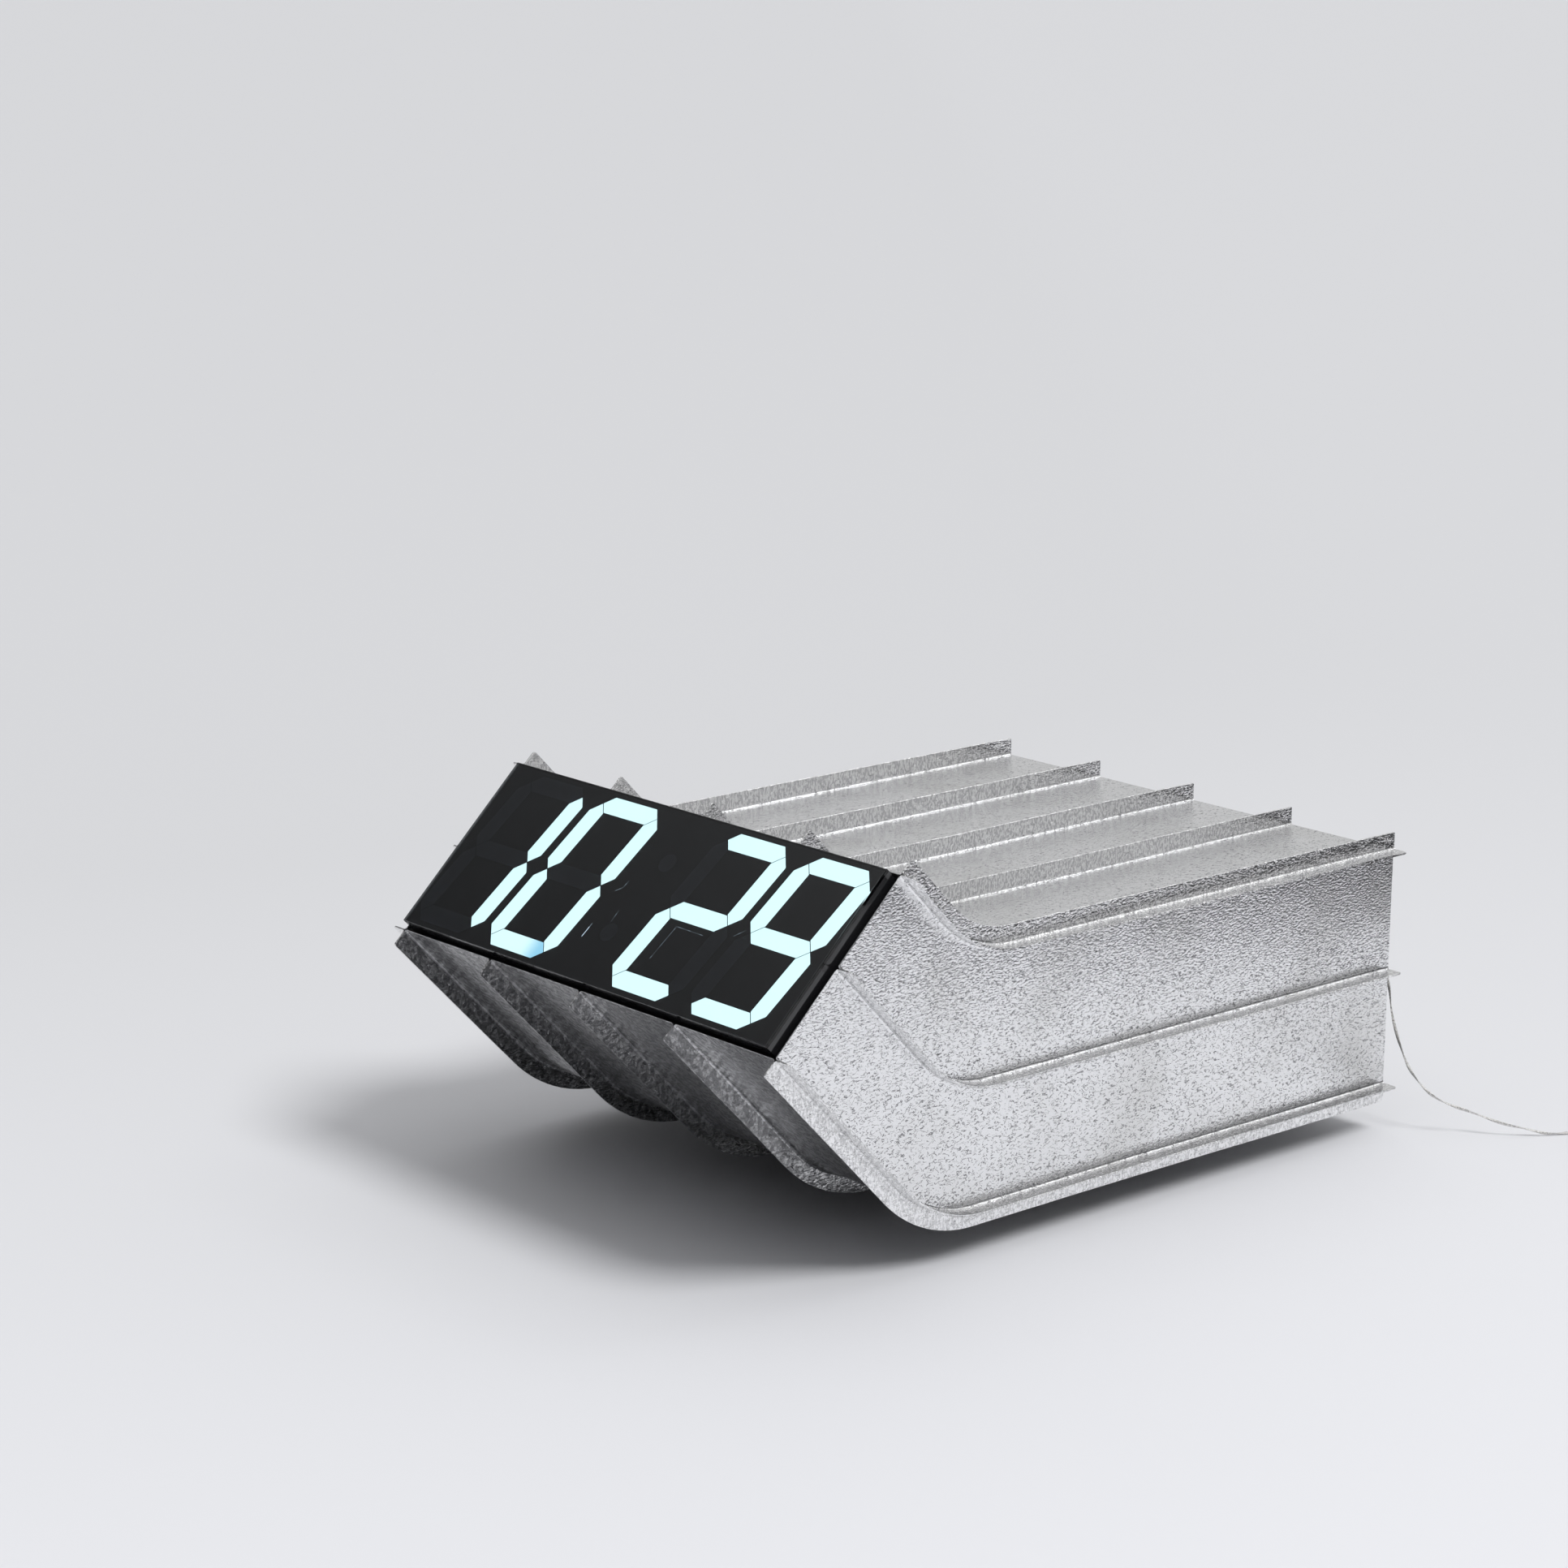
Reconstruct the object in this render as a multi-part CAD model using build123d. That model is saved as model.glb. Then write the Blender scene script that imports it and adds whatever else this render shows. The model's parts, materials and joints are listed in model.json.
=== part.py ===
from build123d import *
import math
import os

os.makedirs("parts", exist_ok=True)

# A table-top digital clock: an elbow-shaped duct of stucco-embossed aluminium sheets with
# standing seams, a four-digit segment display in its raised mouth, a recessed rear panel
# with set buttons, and two low rails underneath that let it float above the table.
# Millimetres, +Z up, display towards -Y. The origin is the middle of the footprint.

# ---- driving dimensions: duct ----
DUCT_WIDTH = 600.0  # between the outer faces of the side walls
BODY_HEIGHT = 269.0  # level section, bottom seam to top seam
TOP_LENGTH = 647.0  # level top, back edge to the virtual corner of the bend
RISE_ANGLE = 46.0  # slope of the raised front section
TOP_RISE = 134.5  # top of the front section, virtual corner to mouth
MOUTH_HEIGHT = 224.0
MID_SHARE = 0.51  # the side seam's place, as a share of the height from the top
TOP_RADIUS, MID_RADIUS, BOTTOM_RADIUS = 130.0, 120.0, 150.0
BAYS = 4  # panels side by side on the top and on the bottom
FIN = 20.0  # height of every standing seam
SHEET = 1.0
BEND = 3.0  # inside radius of a folded flange
FLOOR_GAP = 33.0  # table to the lowest fins

# ---- driving dimensions: display ----
DISPLAY_WIDTH, DISPLAY_HEIGHT = 588.0, 215.0
DISPLAY_PROUD = 14.0  # glass face in front of the mouth
HOUSING_DEPTH = 36.0
HOUSING_WALL = 2.0
GLASS = 4.0
MASK = 1.5
REFLECTOR = 9.0
BOARD = 1.6
GLASS_CHAMFER = 0.6
PLATE_PLAY = 0.4  # between the housing's cavity and the plates in it
DIGIT_WIDTH, DIGIT_HEIGHT = 89.0, 180.0  # between the middles of the strokes
DIGIT_PITCH = 123.6
DIGIT_START = 56.0  # display's middle to the nearest stroke's middle
DIGIT_SLANT = 8.3
STROKE_LEVEL, STROKE_UPRIGHT = 20.8, 22.3
STROKE_GAP = 0.8
COLON_RADIUS, COLON_HEIGHT, COLON_SHIFT = 11.0, 46.0, 5.0
LED, LED_HEIGHT, LED_SHARES = 3.5, 1.0, (0.3, 0.7)  # two chips behind each stroke
DRIVER_X, DRIVER_Y, DRIVER_SIZE = (-210.0, -70.0, 70.0, 210.0), -30.0, (18.0, 10.0, 2.0)
DISPLAY_SOCKET_SIZE = (16.0, 9.0, 6.0)
POST_X, POST_Y = (-282.0, -95.0, 95.0, 282.0), 98.0  # screw posts in the housing
POST_RADIUS, POST_BORE, SCREW = 3.5, 1.6, 1.5
POST_HOLE, POST_HOLE_DEPTH = 1.7, 8.0
GASKET_FRONT, GASKET_BACK = -8.0, -22.0

# ---- driving dimensions: display brackets ----
BRACKET, BRACKET_WIDTH, BRACKET_LEG, BRACKET_BEND = 2.0, 40.0, 30.0, 2.0
BRACKET_X = 190.0
BRACKET_SCREW, BRACKET_SCREW_INSET = 2.0, 18.0
BRACKET_HEAD_RADIUS, BRACKET_HEAD = 3.8, 2.4

# ---- driving dimensions: rear panel and controls ----
REAR_RECESS = 15.0
REAR_SHEET = 1.5
BUTTON_RADIUS, BUTTON_PROUD, BUTTON_TRAVEL = 5.0, 3.0, 1.5
BUTTON_X, BUTTON_Z, BUTTON_PITCH = 150.0, 214.0, 26.0
SLIDE_GAP = 0.3
BOARD_STANDOFF = 10.0
CONTROLLER_WIDTH, CONTROLLER_HEIGHT = 120.0, 76.0
FIT = 0.25  # between the rear panel or its frame and the duct
FRAME_DEPTH, FRAME_WALL, FRAME_LIP = 24.0, 2.0, 16.0
VENT_ROWS, VENT_PITCH, VENT_LENGTH, VENT_WIDTH = 5, 8.0, 60.0, 3.0
VENT_X, VENT_Z = 150.0, 78.0
PANEL_SCREW_X = 98.0
PANEL_HEAD_RADIUS, PANEL_HEAD = 2.9, 2.0
SLOT_LENGTH, SLOT_WIDTH, SLOT_DEPTH = 4.0, 0.8, 0.8

# ---- driving dimensions: controller board ----
CONTROLLER_DROP = 18.0  # buttons' line to the board's middle
SPACER_INSET, SPACER_RADIUS = 5.0, 3.0
SPACER_HEAD_RADIUS, SPACER_HEAD = 2.8, 1.6
SPACER_NUT_RADIUS, SPACER_NUT = 2.7, 2.4
SWITCH, SWITCH_HEIGHT, STEM = 12.0, 4.0, 1.6
FLANGE_RADIUS, FLANGE, FLANGE_GAP = 6.6, 1.2, 0.25
STEM_ENTRY = 0.5  # how deep a resting stem stands in its switch
# Chips on the board: x and z from its middle, width, height, depth.
CHIPS = [(-30, -8, 14, 14, 2), (-6, -6, 9, 9, 1.6), (-34, 22, 8, 5, 3.5), (22, -22, 7, 5, 1.5)]
CELL_X, CELL_Z, CELL_RADIUS, CELL_DEPTH = 24.0, 12.0, 9.9, 3.2
HOLDER_RADIUS, HOLDER_DEPTH, HOLDER_BORE, HOLDER_FLOOR = 12.0, 4.0, 10.0, 1.0
TERMINAL_X, TERMINAL_Z, TERMINAL_SIZE = 18.0, 13.0, (11.0, 10.0, 8.0)  # from the board's corner
LEAD_SOCKET_Z, LEAD_SOCKET_SIZE = 10.0, (16.0, 8.0, 7.0)

# ---- driving dimensions: lead inside the duct ----
CABLE_X, CABLE_Y, CABLE_HOLE = 137.0, -70.0, 6.0  # its line, and its hole in the display housing
LEAD, LEAD_BEND, LEAD_CLEAR = 4.0, 20.0, 6.0
LEAD_START, LEAD_DROP, LEAD_LANDING = 8.0, 36.0, 96.0  # forward of the controller board
LEAD_LIFT, LEAD_APPROACH = 130.0, 70.0  # behind the mouth and behind the display's socket
CLIP_PLACES = (260.0, 400.0, 520.0)  # forward of the controller board
CLIP_BASE, CLIP_TOP, CLIP_LENGTH, CLIP_WALL = 16.0, 8.0, 10.0, 1.5
WIRE_RUN, WIRE_DROP, WIRE_TURN = 16.0, 14.0, 26.0

# ---- driving dimensions: base rails ----
RAIL_WIDTH, RAIL_LENGTH, RAIL_WALL = 100.0, 430.0, 2.0
RAIL_X, RAIL_BACK = 75.0, 130.0  # rail's middle from the centre line; rear end from the duct's back
FOOT_HEIGHT, FOOT_LENGTH, FOOT_INSET, FOOT_CORNER = 8.0, 46.0, 8.0, 6.0
FOOT_SHARES, BOLT_SHARES = (0.09, 0.91), (0.12, 0.88)  # places along a rail
BOLT_RADIUS, BOLT_HOLE, BOLT_TAIL = 3.0, 3.3, 8.0
HEAD_RADIUS, HEAD_HEIGHT, NUT_HEIGHT = 5.5, 4.0, 5.0
CAP, CAP_PLUG, CAP_PLAY, CAP_DROP = 3.0, 10.0, 0.1, 1.0
PLATE = 2.0

# ---- driving dimensions: cord ----
CORD = 3.4  # across the two cores
CORD_LENGTH = 1800.0
EXIT_X, EXIT_Z = 266.0, 180.0
SLEEVE_LENGTH, SLEEVE_NECK, SLEEVE_COLLAR = 22.0, 3.2, 6.5
COLLAR, NECK_BEHIND, TAPER_WALL = 2.0, 2.5, 0.7
CORE_RADIUS = 0.75  # of each of the cord's two cores
COIL_RADIUS = 19.0  # middle of the turns
COIL_RINGS, COIL_LAYERS, COIL_ROUNDING = 3, 4, 1.5
TIE, TIE_WIDTH, TIE_ANGLE, TIE_GAP = 0.8, 4.0, -75.0, 0.2
PLUG_RADIUS, PLUG_BODY, PLUG_TAIL, PLUG_SHOULDER, PLUG_ROUNDING = 5.0, 22.0, 14.0, 1.2, 1.0
BARREL_RADIUS, BARREL_BORE, BARREL_LENGTH = 2.75, 1.05, 9.5
CORD_GRIP = 5.0  # how deep the cord and the barrel sit in the plug

# ---- the duct's side view ----
slope = math.radians(RISE_ANGLE)
forward = Vector(0, -math.cos(slope), math.sin(slope))  # along the raised front section
across = Vector(0, math.sin(slope), math.cos(slope))  # up the display's face
overall_depth = TOP_LENGTH + TOP_RISE * math.cos(slope) + (MOUTH_HEIGHT + FIN) * math.sin(slope)
back = overall_depth / 2
bottom_level = FLOOR_GAP + FIN
top_level = bottom_level + BODY_HEIGHT
mid_level = top_level - MID_SHARE * BODY_HEIGHT
half = DUCT_WIDTH / 2
bay = DUCT_WIDTH / BAYS

mouth_top = Vector(0, back - TOP_LENGTH, top_level) + forward * TOP_RISE
mouth_middle = mouth_top - across * (MOUTH_HEIGHT / 2)
mouth = Plane(origin=mouth_middle, x_dir=(1, 0, 0), z_dir=forward)
rear_face = back - REAR_RECESS  # outside of the rear panel
rear_inside = rear_face - REAR_SHEET


def seam(level, share):
    """Back end, virtual corner and mouth end of the seam at this share of the height."""
    end = mouth_top - across * (MOUTH_HEIGHT * share)
    corner = end - forward * ((end.Z - level) / math.sin(slope))
    return Vector(0, back, level), corner, end


seams = {
    "top": (seam(top_level, 0.0), TOP_RADIUS),
    "mid": (seam(mid_level, MID_SHARE), MID_RADIUS),
    "bottom": (seam(bottom_level, 1.0), BOTTOM_RADIUS),
}


def shifted_seam(name, lift):
    """The seam's three points moved square to it by lift, and the radius they then have."""
    (start, corner, end), radius = seams[name]
    up = Vector(0, 0, 1)
    mitre = (up + across) * (lift / (1 + up.dot(across)))
    return (start + up * lift, corner + mitre, end + across * lift), radius - lift


def fold_outline(points, thickness=SHEET, bend=BEND):
    """Closed outline of a folded sheet whose middle line runs through the points."""
    middle = [Vector(*point) for point in points]
    runs = [(b - a).normalized() for a, b in zip(middle, middle[1:])]
    left, right = [], []
    for index, point in enumerate(middle):
        before = runs[max(index - 1, 0)]
        after = runs[min(index, len(runs) - 1)]
        turn = before.X * after.Y - before.Y * after.X
        normal = Vector(-before.Y, before.X) + Vector(-after.Y, after.X)
        offset = normal * (thickness / 2 / (1 + before.dot(after)))
        radii = (0, 0)
        if turn > 0:
            radii = (bend, bend + thickness)
        elif turn < 0:
            radii = (bend + thickness, bend)
        left.append((point + offset, radii[0]))
        right.append((point - offset, radii[1]))
    outline = left + right[::-1]
    corners = [corner for corner, _ in outline]
    return FilletPolyline(*corners, radius=[radius for _, radius in outline], close=True)


def swept_fold(name, points):
    """A folded sheet that runs along a seam; points are (x, height above the seam)."""
    (start, corner, end), radius = seams[name]
    path = FilletPolyline(start, corner, end, radius=radius)
    station = Plane(origin=start, x_dir=(1, 0, 0), z_dir=(0, -1, 0))
    return sweep(station * make_face(fold_outline(points)), path=path)


def save(name, shape):
    export_step(shape, f"parts/{name}.step")


# Stands a shape on its base instead of centring it.
STANDING = (Align.CENTER, Align.CENTER, Align.MIN)


def solids_of(*shapes):
    return Compound([solid for shape in shapes for solid in shape.solids()])


def box(low, high):
    """A box between two corners."""
    size = [b - a for a, b in zip(low, high)]
    middle = [(a + b) / 2 for a, b in zip(low, high)]
    return Pos(*middle) * Box(*size)


def rod_y(x, y_from, y_to, z, radius):
    """A round bar along Y."""
    middle = Pos(x, (y_from + y_to) / 2, z) * Rot(90, 0, 0)
    return middle * Cylinder(radius, abs(y_to - y_from))


def rod_z(x, y, z_from, z_to, radius):
    """A round bar along Z."""
    return Pos(x, y, (z_from + z_to) / 2) * Cylinder(radius, z_to - z_from)


def slab(width, height, low, high):
    """A plate on the display's axes, between two depths measured out of the mouth."""
    return mouth * Pos(0, 0, (low + high) / 2) * Box(width, height, high - low)


# ---- duct shell ----
skin = SHEET / 2


def duct_panel(name, index, side):
    """A channel between two seams: a flat web with a flange turned outwards at each edge."""
    low = -half + index * bay + skin
    high = -half + (index + 1) * bay - skin
    web = -side * skin
    return swept_fold(name, [(low, side * FIN), (low, web), (high, web), (high, side * FIN)])


rail_bolt_y = [back - RAIL_BACK - RAIL_LENGTH * share for share in BOLT_SHARES]

for index in range(BAYS):
    save(f"top_panel_{index + 1}", duct_panel("top", index, 1))
    panel = duct_panel("bottom", index, -1)
    for x in (-RAIL_X, RAIL_X):
        for y in rail_bolt_y:
            panel -= rod_z(x, y, bottom_level - 1, bottom_level + 2 * SHEET, BOLT_HOLE)
    save(f"bottom_panel_{index + 1}", panel)


def side_panel(upper, lower):
    """A flat web between two seams with a flange turned outwards along each of them."""
    leg = 2 * (BEND + SHEET)
    edge = half + FIN
    wall = half - skin
    lift = BEND + 2 * SHEET
    (back_high, corner_high, mouth_high), radius_high = shifted_seam(upper, -lift)
    (back_low, corner_low, mouth_low), radius_low = shifted_seam(lower, lift)
    corners = [back_high, corner_high, mouth_high, mouth_low, corner_low, back_low]
    outline = [(corner.Y, corner.Z) for corner in corners]
    radii = [0, radius_high, 0, 0, radius_low, 0]
    face = make_face(FilletPolyline(*outline, radius=radii, close=True))
    web = extrude(Plane.YZ.offset(half - SHEET) * face, amount=SHEET)
    web += swept_fold(upper, [(edge, -skin), (wall, -skin), (wall, -leg)])
    web += swept_fold(lower, [(edge, skin), (wall, skin), (wall, leg)])
    return web


def corner_strip(name, side):
    """An angle that backs the panel's flange and the side wall's flange."""
    wall = half + skin
    return swept_fold(name, [(wall, side * FIN), (wall, side * skin), (half + FIN, side * skin)])


for name, shape in (
    ("side_panel_upper", side_panel("top", "mid")),
    ("side_panel_lower", side_panel("mid", "bottom")),
    ("corner_strip_top", corner_strip("top", 1)),
    ("corner_strip_bottom", corner_strip("bottom", -1)),
):
    save(f"{name}_right", shape)
    save(f"{name}_left", mirror(shape, about=Plane.YZ))

# ---- base rails ----
rail_top = bottom_level
rail_rear = back - RAIL_BACK
rail_front = rail_rear - RAIL_LENGTH


def base_rail(x):
    """A box-section rail, open at its ends, with bolt holes in its top wall."""
    low = (x - RAIL_WIDTH / 2, rail_front, FOOT_HEIGHT)
    high = (x + RAIL_WIDTH / 2, rail_rear, rail_top)
    rail = box(low, high)
    inner_low = (low[0] + RAIL_WALL, rail_front, FOOT_HEIGHT + RAIL_WALL)
    inner_high = (high[0] - RAIL_WALL, rail_rear, rail_top - RAIL_WALL)
    rail -= box(inner_low, inner_high)
    for y in rail_bolt_y:
        rail -= rod_z(x, y, rail_top - 2 * RAIL_WALL, rail_top + 1, BOLT_HOLE)
    return rail


def rail_caps(x):
    """Plastic caps pushed into both ends of a rail."""
    inset = RAIL_WALL + CAP_PLAY
    caps = []
    for outer, inner in ((rail_rear, rail_rear - CAP_PLUG), (rail_front, rail_front + CAP_PLUG)):
        step = CAP if outer > inner else -CAP
        low_x, high_x = x - RAIL_WIDTH / 2, x + RAIL_WIDTH / 2
        plate_ends = sorted((outer, outer + step))
        plug_ends = sorted((outer, inner))
        cap = box((low_x, plate_ends[0], FOOT_HEIGHT), (high_x, plate_ends[1], rail_top - CAP_DROP))
        cap += box(
            (low_x + inset, plug_ends[0], FOOT_HEIGHT + inset),
            (high_x - inset, plug_ends[1], rail_top - inset),
        )
        caps.append(cap)
    return caps


feet, fasteners, plates, caps = [], [], [], []
for x in (-RAIL_X, RAIL_X):
    for share in FOOT_SHARES:
        y = rail_rear - RAIL_LENGTH * share
        foot = Pos(x, y, FOOT_HEIGHT / 2) * Box(RAIL_WIDTH - 2 * FOOT_INSET, FOOT_LENGTH, FOOT_HEIGHT)
        feet.append(fillet(foot.edges().filter_by(Axis.Z), FOOT_CORNER))
    plate_low = bottom_level + SHEET
    plate = box(
        (x - RAIL_WIDTH / 2, rail_front, plate_low),
        (x + RAIL_WIDTH / 2, rail_rear, plate_low + PLATE),
    )
    for y in rail_bolt_y:
        plate -= rod_z(x, y, plate_low - 1, plate_low + PLATE + 1, BOLT_HOLE)
        head_low = plate_low + PLATE
        nut_high = rail_top - RAIL_WALL
        hexagon = Plane(origin=(x, y, head_low)) * RegularPolygon(HEAD_RADIUS, 6)
        bolt = extrude(hexagon, amount=HEAD_HEIGHT)
        fasteners.append(bolt + rod_z(x, y, nut_high - BOLT_TAIL, head_low, BOLT_RADIUS))
        hexagon = Plane(origin=(x, y, nut_high - NUT_HEIGHT)) * RegularPolygon(HEAD_RADIUS, 6)
        nut = extrude(hexagon, amount=NUT_HEIGHT)
        fasteners.append(nut - rod_z(x, y, nut_high - NUT_HEIGHT - 1, nut_high, BOLT_RADIUS))
    plates.append(plate)
    caps += rail_caps(x)

save("base_rail_left", base_rail(-RAIL_X))
save("base_rail_right", base_rail(RAIL_X))
save("rail_end_caps", solids_of(*caps))
save("rubber_feet", solids_of(*feet))
save("base_bolts_and_nuts", solids_of(*fasteners))
save("spreader_plates", solids_of(*plates))

# ---- display: depths are measured out of the mouth, so the inside of the duct is negative ----
glass_back = DISPLAY_PROUD - GLASS
mask_back = glass_back - MASK
reflector_back = mask_back - REFLECTOR
board_back = reflector_back - BOARD
housing_back = glass_back - HOUSING_DEPTH
cavity_width = DISPLAY_WIDTH - 2 * HOUSING_WALL
cavity_height = DISPLAY_HEIGHT - 2 * HOUSING_WALL
lean = math.tan(math.radians(DIGIT_SLANT))

glass = slab(DISPLAY_WIDTH, DISPLAY_HEIGHT, glass_back, DISPLAY_PROUD)
front_edges = glass.faces().sort_by(Axis(mouth_middle, forward))[-1].edges()
save("front_glass", chamfer(front_edges, GLASS_CHAMFER))


def display_bracket(x, side):
    """An angle between the housing's back and the duct, with its screw."""
    wall = side * (MOUTH_HEIGHT / 2 - SHEET - BRACKET / 2)
    seat = housing_back - BRACKET / 2
    middle_line = [(wall, seat - BRACKET_LEG), (wall, seat), (wall - side * BRACKET_LEG, seat)]
    edge = mouth_middle + Vector(x - BRACKET_WIDTH / 2, 0, 0)
    profile = Plane(edge, x_dir=across, z_dir=(1, 0, 0))
    outline = fold_outline(middle_line, BRACKET, BRACKET_BEND)
    bracket = extrude(profile * make_face(outline), amount=BRACKET_WIDTH)
    axis = mouth * Pos(x, wall - side * BRACKET_SCREW_INSET, 0)
    head_low = housing_back - BRACKET - BRACKET_HEAD
    shank_high = housing_back + HOUSING_WALL
    shank_length = shank_high - head_low
    shank = axis * Pos(0, 0, head_low) * Cylinder(BRACKET_SCREW, shank_length, align=STANDING)
    head = axis * Pos(0, 0, head_low) * Cylinder(BRACKET_HEAD_RADIUS, BRACKET_HEAD, align=STANDING)
    return bracket - shank, head + shank


fixings = [display_bracket(x, side) for x in (-BRACKET_X, BRACKET_X) for side in (-1, 1)]
bracket_screws = [screw for _, screw in fixings]
save("display_brackets", solids_of(*[bracket for bracket, _ in fixings]))
save("bracket_screws", solids_of(*bracket_screws))

housing = slab(DISPLAY_WIDTH, DISPLAY_HEIGHT, housing_back, glass_back)
housing -= slab(cavity_width, cavity_height, housing_back + HOUSING_WALL, glass_back)
housing -= mouth * Pos(CABLE_X, CABLE_Y, housing_back) * Cylinder(CABLE_HOLE, 4 * HOUSING_WALL)
housing -= bracket_screws

gasket = slab(DUCT_WIDTH - 2 * SHEET, MOUTH_HEIGHT - 2 * SHEET, GASKET_BACK, GASKET_FRONT)
gasket -= slab(DISPLAY_WIDTH, DISPLAY_HEIGHT, GASKET_BACK - 1, GASKET_FRONT + 1)
save("mouth_gasket", gasket)

# A digit's strokes run between six nodes: left and right, at the top, the middle and the
# bottom. Each is named by its two ends.
STROKES = {
    "top": ((-1, 1), (1, 1)),
    "upper_left": ((-1, 1), (-1, 0)),
    "upper_right": ((1, 1), (1, 0)),
    "middle": ((-1, 0), (1, 0)),
    "lower_left": ((-1, 0), (-1, -1)),
    "lower_right": ((1, 0), (1, -1)),
    "bottom": ((-1, -1), (1, -1)),
}
SHOWN = {
    "hour_tens": {"upper_right", "lower_right"},
    "hour_units": set(STROKES) - {"middle"},
    "minute_tens": set(STROKES) - {"upper_left", "lower_right"},
    "minute_units": set(STROKES) - {"lower_left"},
}
digit_middle = DIGIT_START + DIGIT_WIDTH / 2
DIGIT_X = {
    "hour_tens": -digit_middle - DIGIT_PITCH,
    "hour_units": -digit_middle,
    "minute_tens": digit_middle,
    "minute_units": digit_middle + DIGIT_PITCH,
}


def stroke_face(digit_x, ends):
    """A pointed bar between two of a digit's nodes, leaning with the digit."""
    start, end = (Vector(x * DIGIT_WIDTH / 2, y * DIGIT_HEIGHT / 2) for x, y in ends)
    along = (end - start).normalized()
    side = Vector(-along.Y, along.X)
    width = STROKE_LEVEL if abs(along.X) > abs(along.Y) else STROKE_UPRIGHT
    tip = along * (STROKE_GAP * math.sqrt(0.5))
    shoulder = along * (width / 2) + tip
    points = [
        start + tip,
        start + shoulder + side * (width / 2),
        end - shoulder + side * (width / 2),
        end - tip,
        end - shoulder - side * (width / 2),
        start + shoulder - side * (width / 2),
    ]
    leaning = [(digit_x + point.X + lean * point.Y, point.Y) for point in points]
    return make_face(Polyline(*leaning, close=True))


def display_solid(face, low, high):
    return extrude(mouth.offset(low) * face, amount=high - low)


stroke_faces = {
    (digit, stroke): stroke_face(x, ends)
    for digit, x in DIGIT_X.items()
    for stroke, ends in STROKES.items()
}
colon_faces = [
    Pos(COLON_SHIFT + lean * side * COLON_HEIGHT, side * COLON_HEIGHT) * Circle(COLON_RADIUS)
    for side in (-1, 1)
]
windows = list(stroke_faces.values()) + colon_faces


def windowed_plate(low, high):
    """A plate that fills the housing, with an opening for every stroke and colon dot."""
    plate = slab(cavity_width - PLATE_PLAY, cavity_height - PLATE_PLAY, low, high)
    return plate - [display_solid(face, low - 1, high + 1) for face in windows]


save("segment_mask", windowed_plate(mask_back, glass_back))
save("reflector_frame", windowed_plate(reflector_back, mask_back))
unlit = []
for digit, shown in SHOWN.items():
    lit = []
    for stroke in STROKES:
        lens = display_solid(stroke_faces[digit, stroke], mask_back, glass_back)
        (lit if stroke in shown else unlit).append(lens)
    save(f"{digit}_lit_segments", solids_of(*lit))
save("unlit_segments", solids_of(*unlit))
dots = [display_solid(face, mask_back, glass_back) for face in colon_faces]
save("colon_lenses", solids_of(*dots))

led_board = slab(cavity_width - PLATE_PLAY, cavity_height - PLATE_PLAY, board_back, reflector_back)
post_places = [(x, y) for x in POST_X for y in (-POST_Y, POST_Y)]
post_low = housing_back + HOUSING_WALL
for x, y in post_places:
    led_board -= mouth * Pos(x, y, board_back) * Cylinder(POST_HOLE, POST_HOLE_DEPTH)
    place = mouth * Pos(x, y, post_low)
    housing += place * Cylinder(POST_RADIUS, board_back - post_low, align=STANDING)
    housing -= place * Cylinder(POST_BORE, board_back - post_low, align=STANDING)
save("display_housing", housing)
save("led_board", led_board)

chips = []
for (digit, stroke), face in stroke_faces.items():
    start, end = (Vector(x * DIGIT_WIDTH / 2, y * DIGIT_HEIGHT / 2) for x, y in STROKES[stroke])
    for share in LED_SHARES:
        place = start + (end - start) * share
        x = DIGIT_X[digit] + place.X + lean * place.Y
        chips.append(mouth * Pos(x, place.Y, reflector_back + LED_HEIGHT / 2) * Box(LED, LED, LED_HEIGHT))
save("led_chips", solids_of(*chips))
drivers = [mouth * Pos(x, DRIVER_Y, board_back - DRIVER_SIZE[2] / 2) * Box(*DRIVER_SIZE) for x in DRIVER_X]
socket = mouth * Pos(CABLE_X, CABLE_Y, board_back - DISPLAY_SOCKET_SIZE[2] / 2) * Box(*DISPLAY_SOCKET_SIZE)
save("display_board_components", solids_of(*drivers, socket))


# ---- rear panel, its frame and its screws ----
panel_half = half - SHEET - FIT
panel_low = bottom_level + SHEET + FIT
panel_high = top_level - SHEET - FIT
frame_low = rear_inside - FRAME_DEPTH
rear_panel = box((-panel_half, rear_inside, panel_low), (panel_half, rear_face, panel_high))
rear_frame = box(
    (-panel_half, frame_low, panel_low), (panel_half, rear_inside, panel_high)
) - box(
    (-panel_half + FRAME_WALL, frame_low - 1, panel_low + FRAME_WALL),
    (panel_half - FRAME_WALL, rear_inside - FRAME_WALL, panel_high - FRAME_WALL),
) - box(
    (-panel_half + FRAME_LIP, frame_low - 1, panel_low + FRAME_LIP),
    (panel_half - FRAME_LIP, rear_face, panel_high - FRAME_LIP),
)
screw_inset = FRAME_LIP / 2 + 1
screw_places = [
    (x, z)
    for x in (-panel_half + screw_inset, -PANEL_SCREW_X, PANEL_SCREW_X, panel_half - screw_inset)
    for z in (panel_low + screw_inset, panel_high - screw_inset)
]
rear_screws = []
for x, z in screw_places:
    shank = rod_y(x, rear_inside - FRAME_WALL - 4, rear_face, z, SCREW)
    rear_panel -= shank
    rear_frame -= shank
    head_end = rear_face + PANEL_HEAD
    head = rod_y(x, rear_face, head_end, z, PANEL_HEAD_RADIUS)
    slot = box(
        (x - SLOT_LENGTH / 2, head_end - SLOT_DEPTH, z - SLOT_WIDTH / 2),
        (x + SLOT_LENGTH / 2, head_end + 1, z + SLOT_WIDTH / 2),
    )
    rear_screws.append(head + shank - slot)

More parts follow.
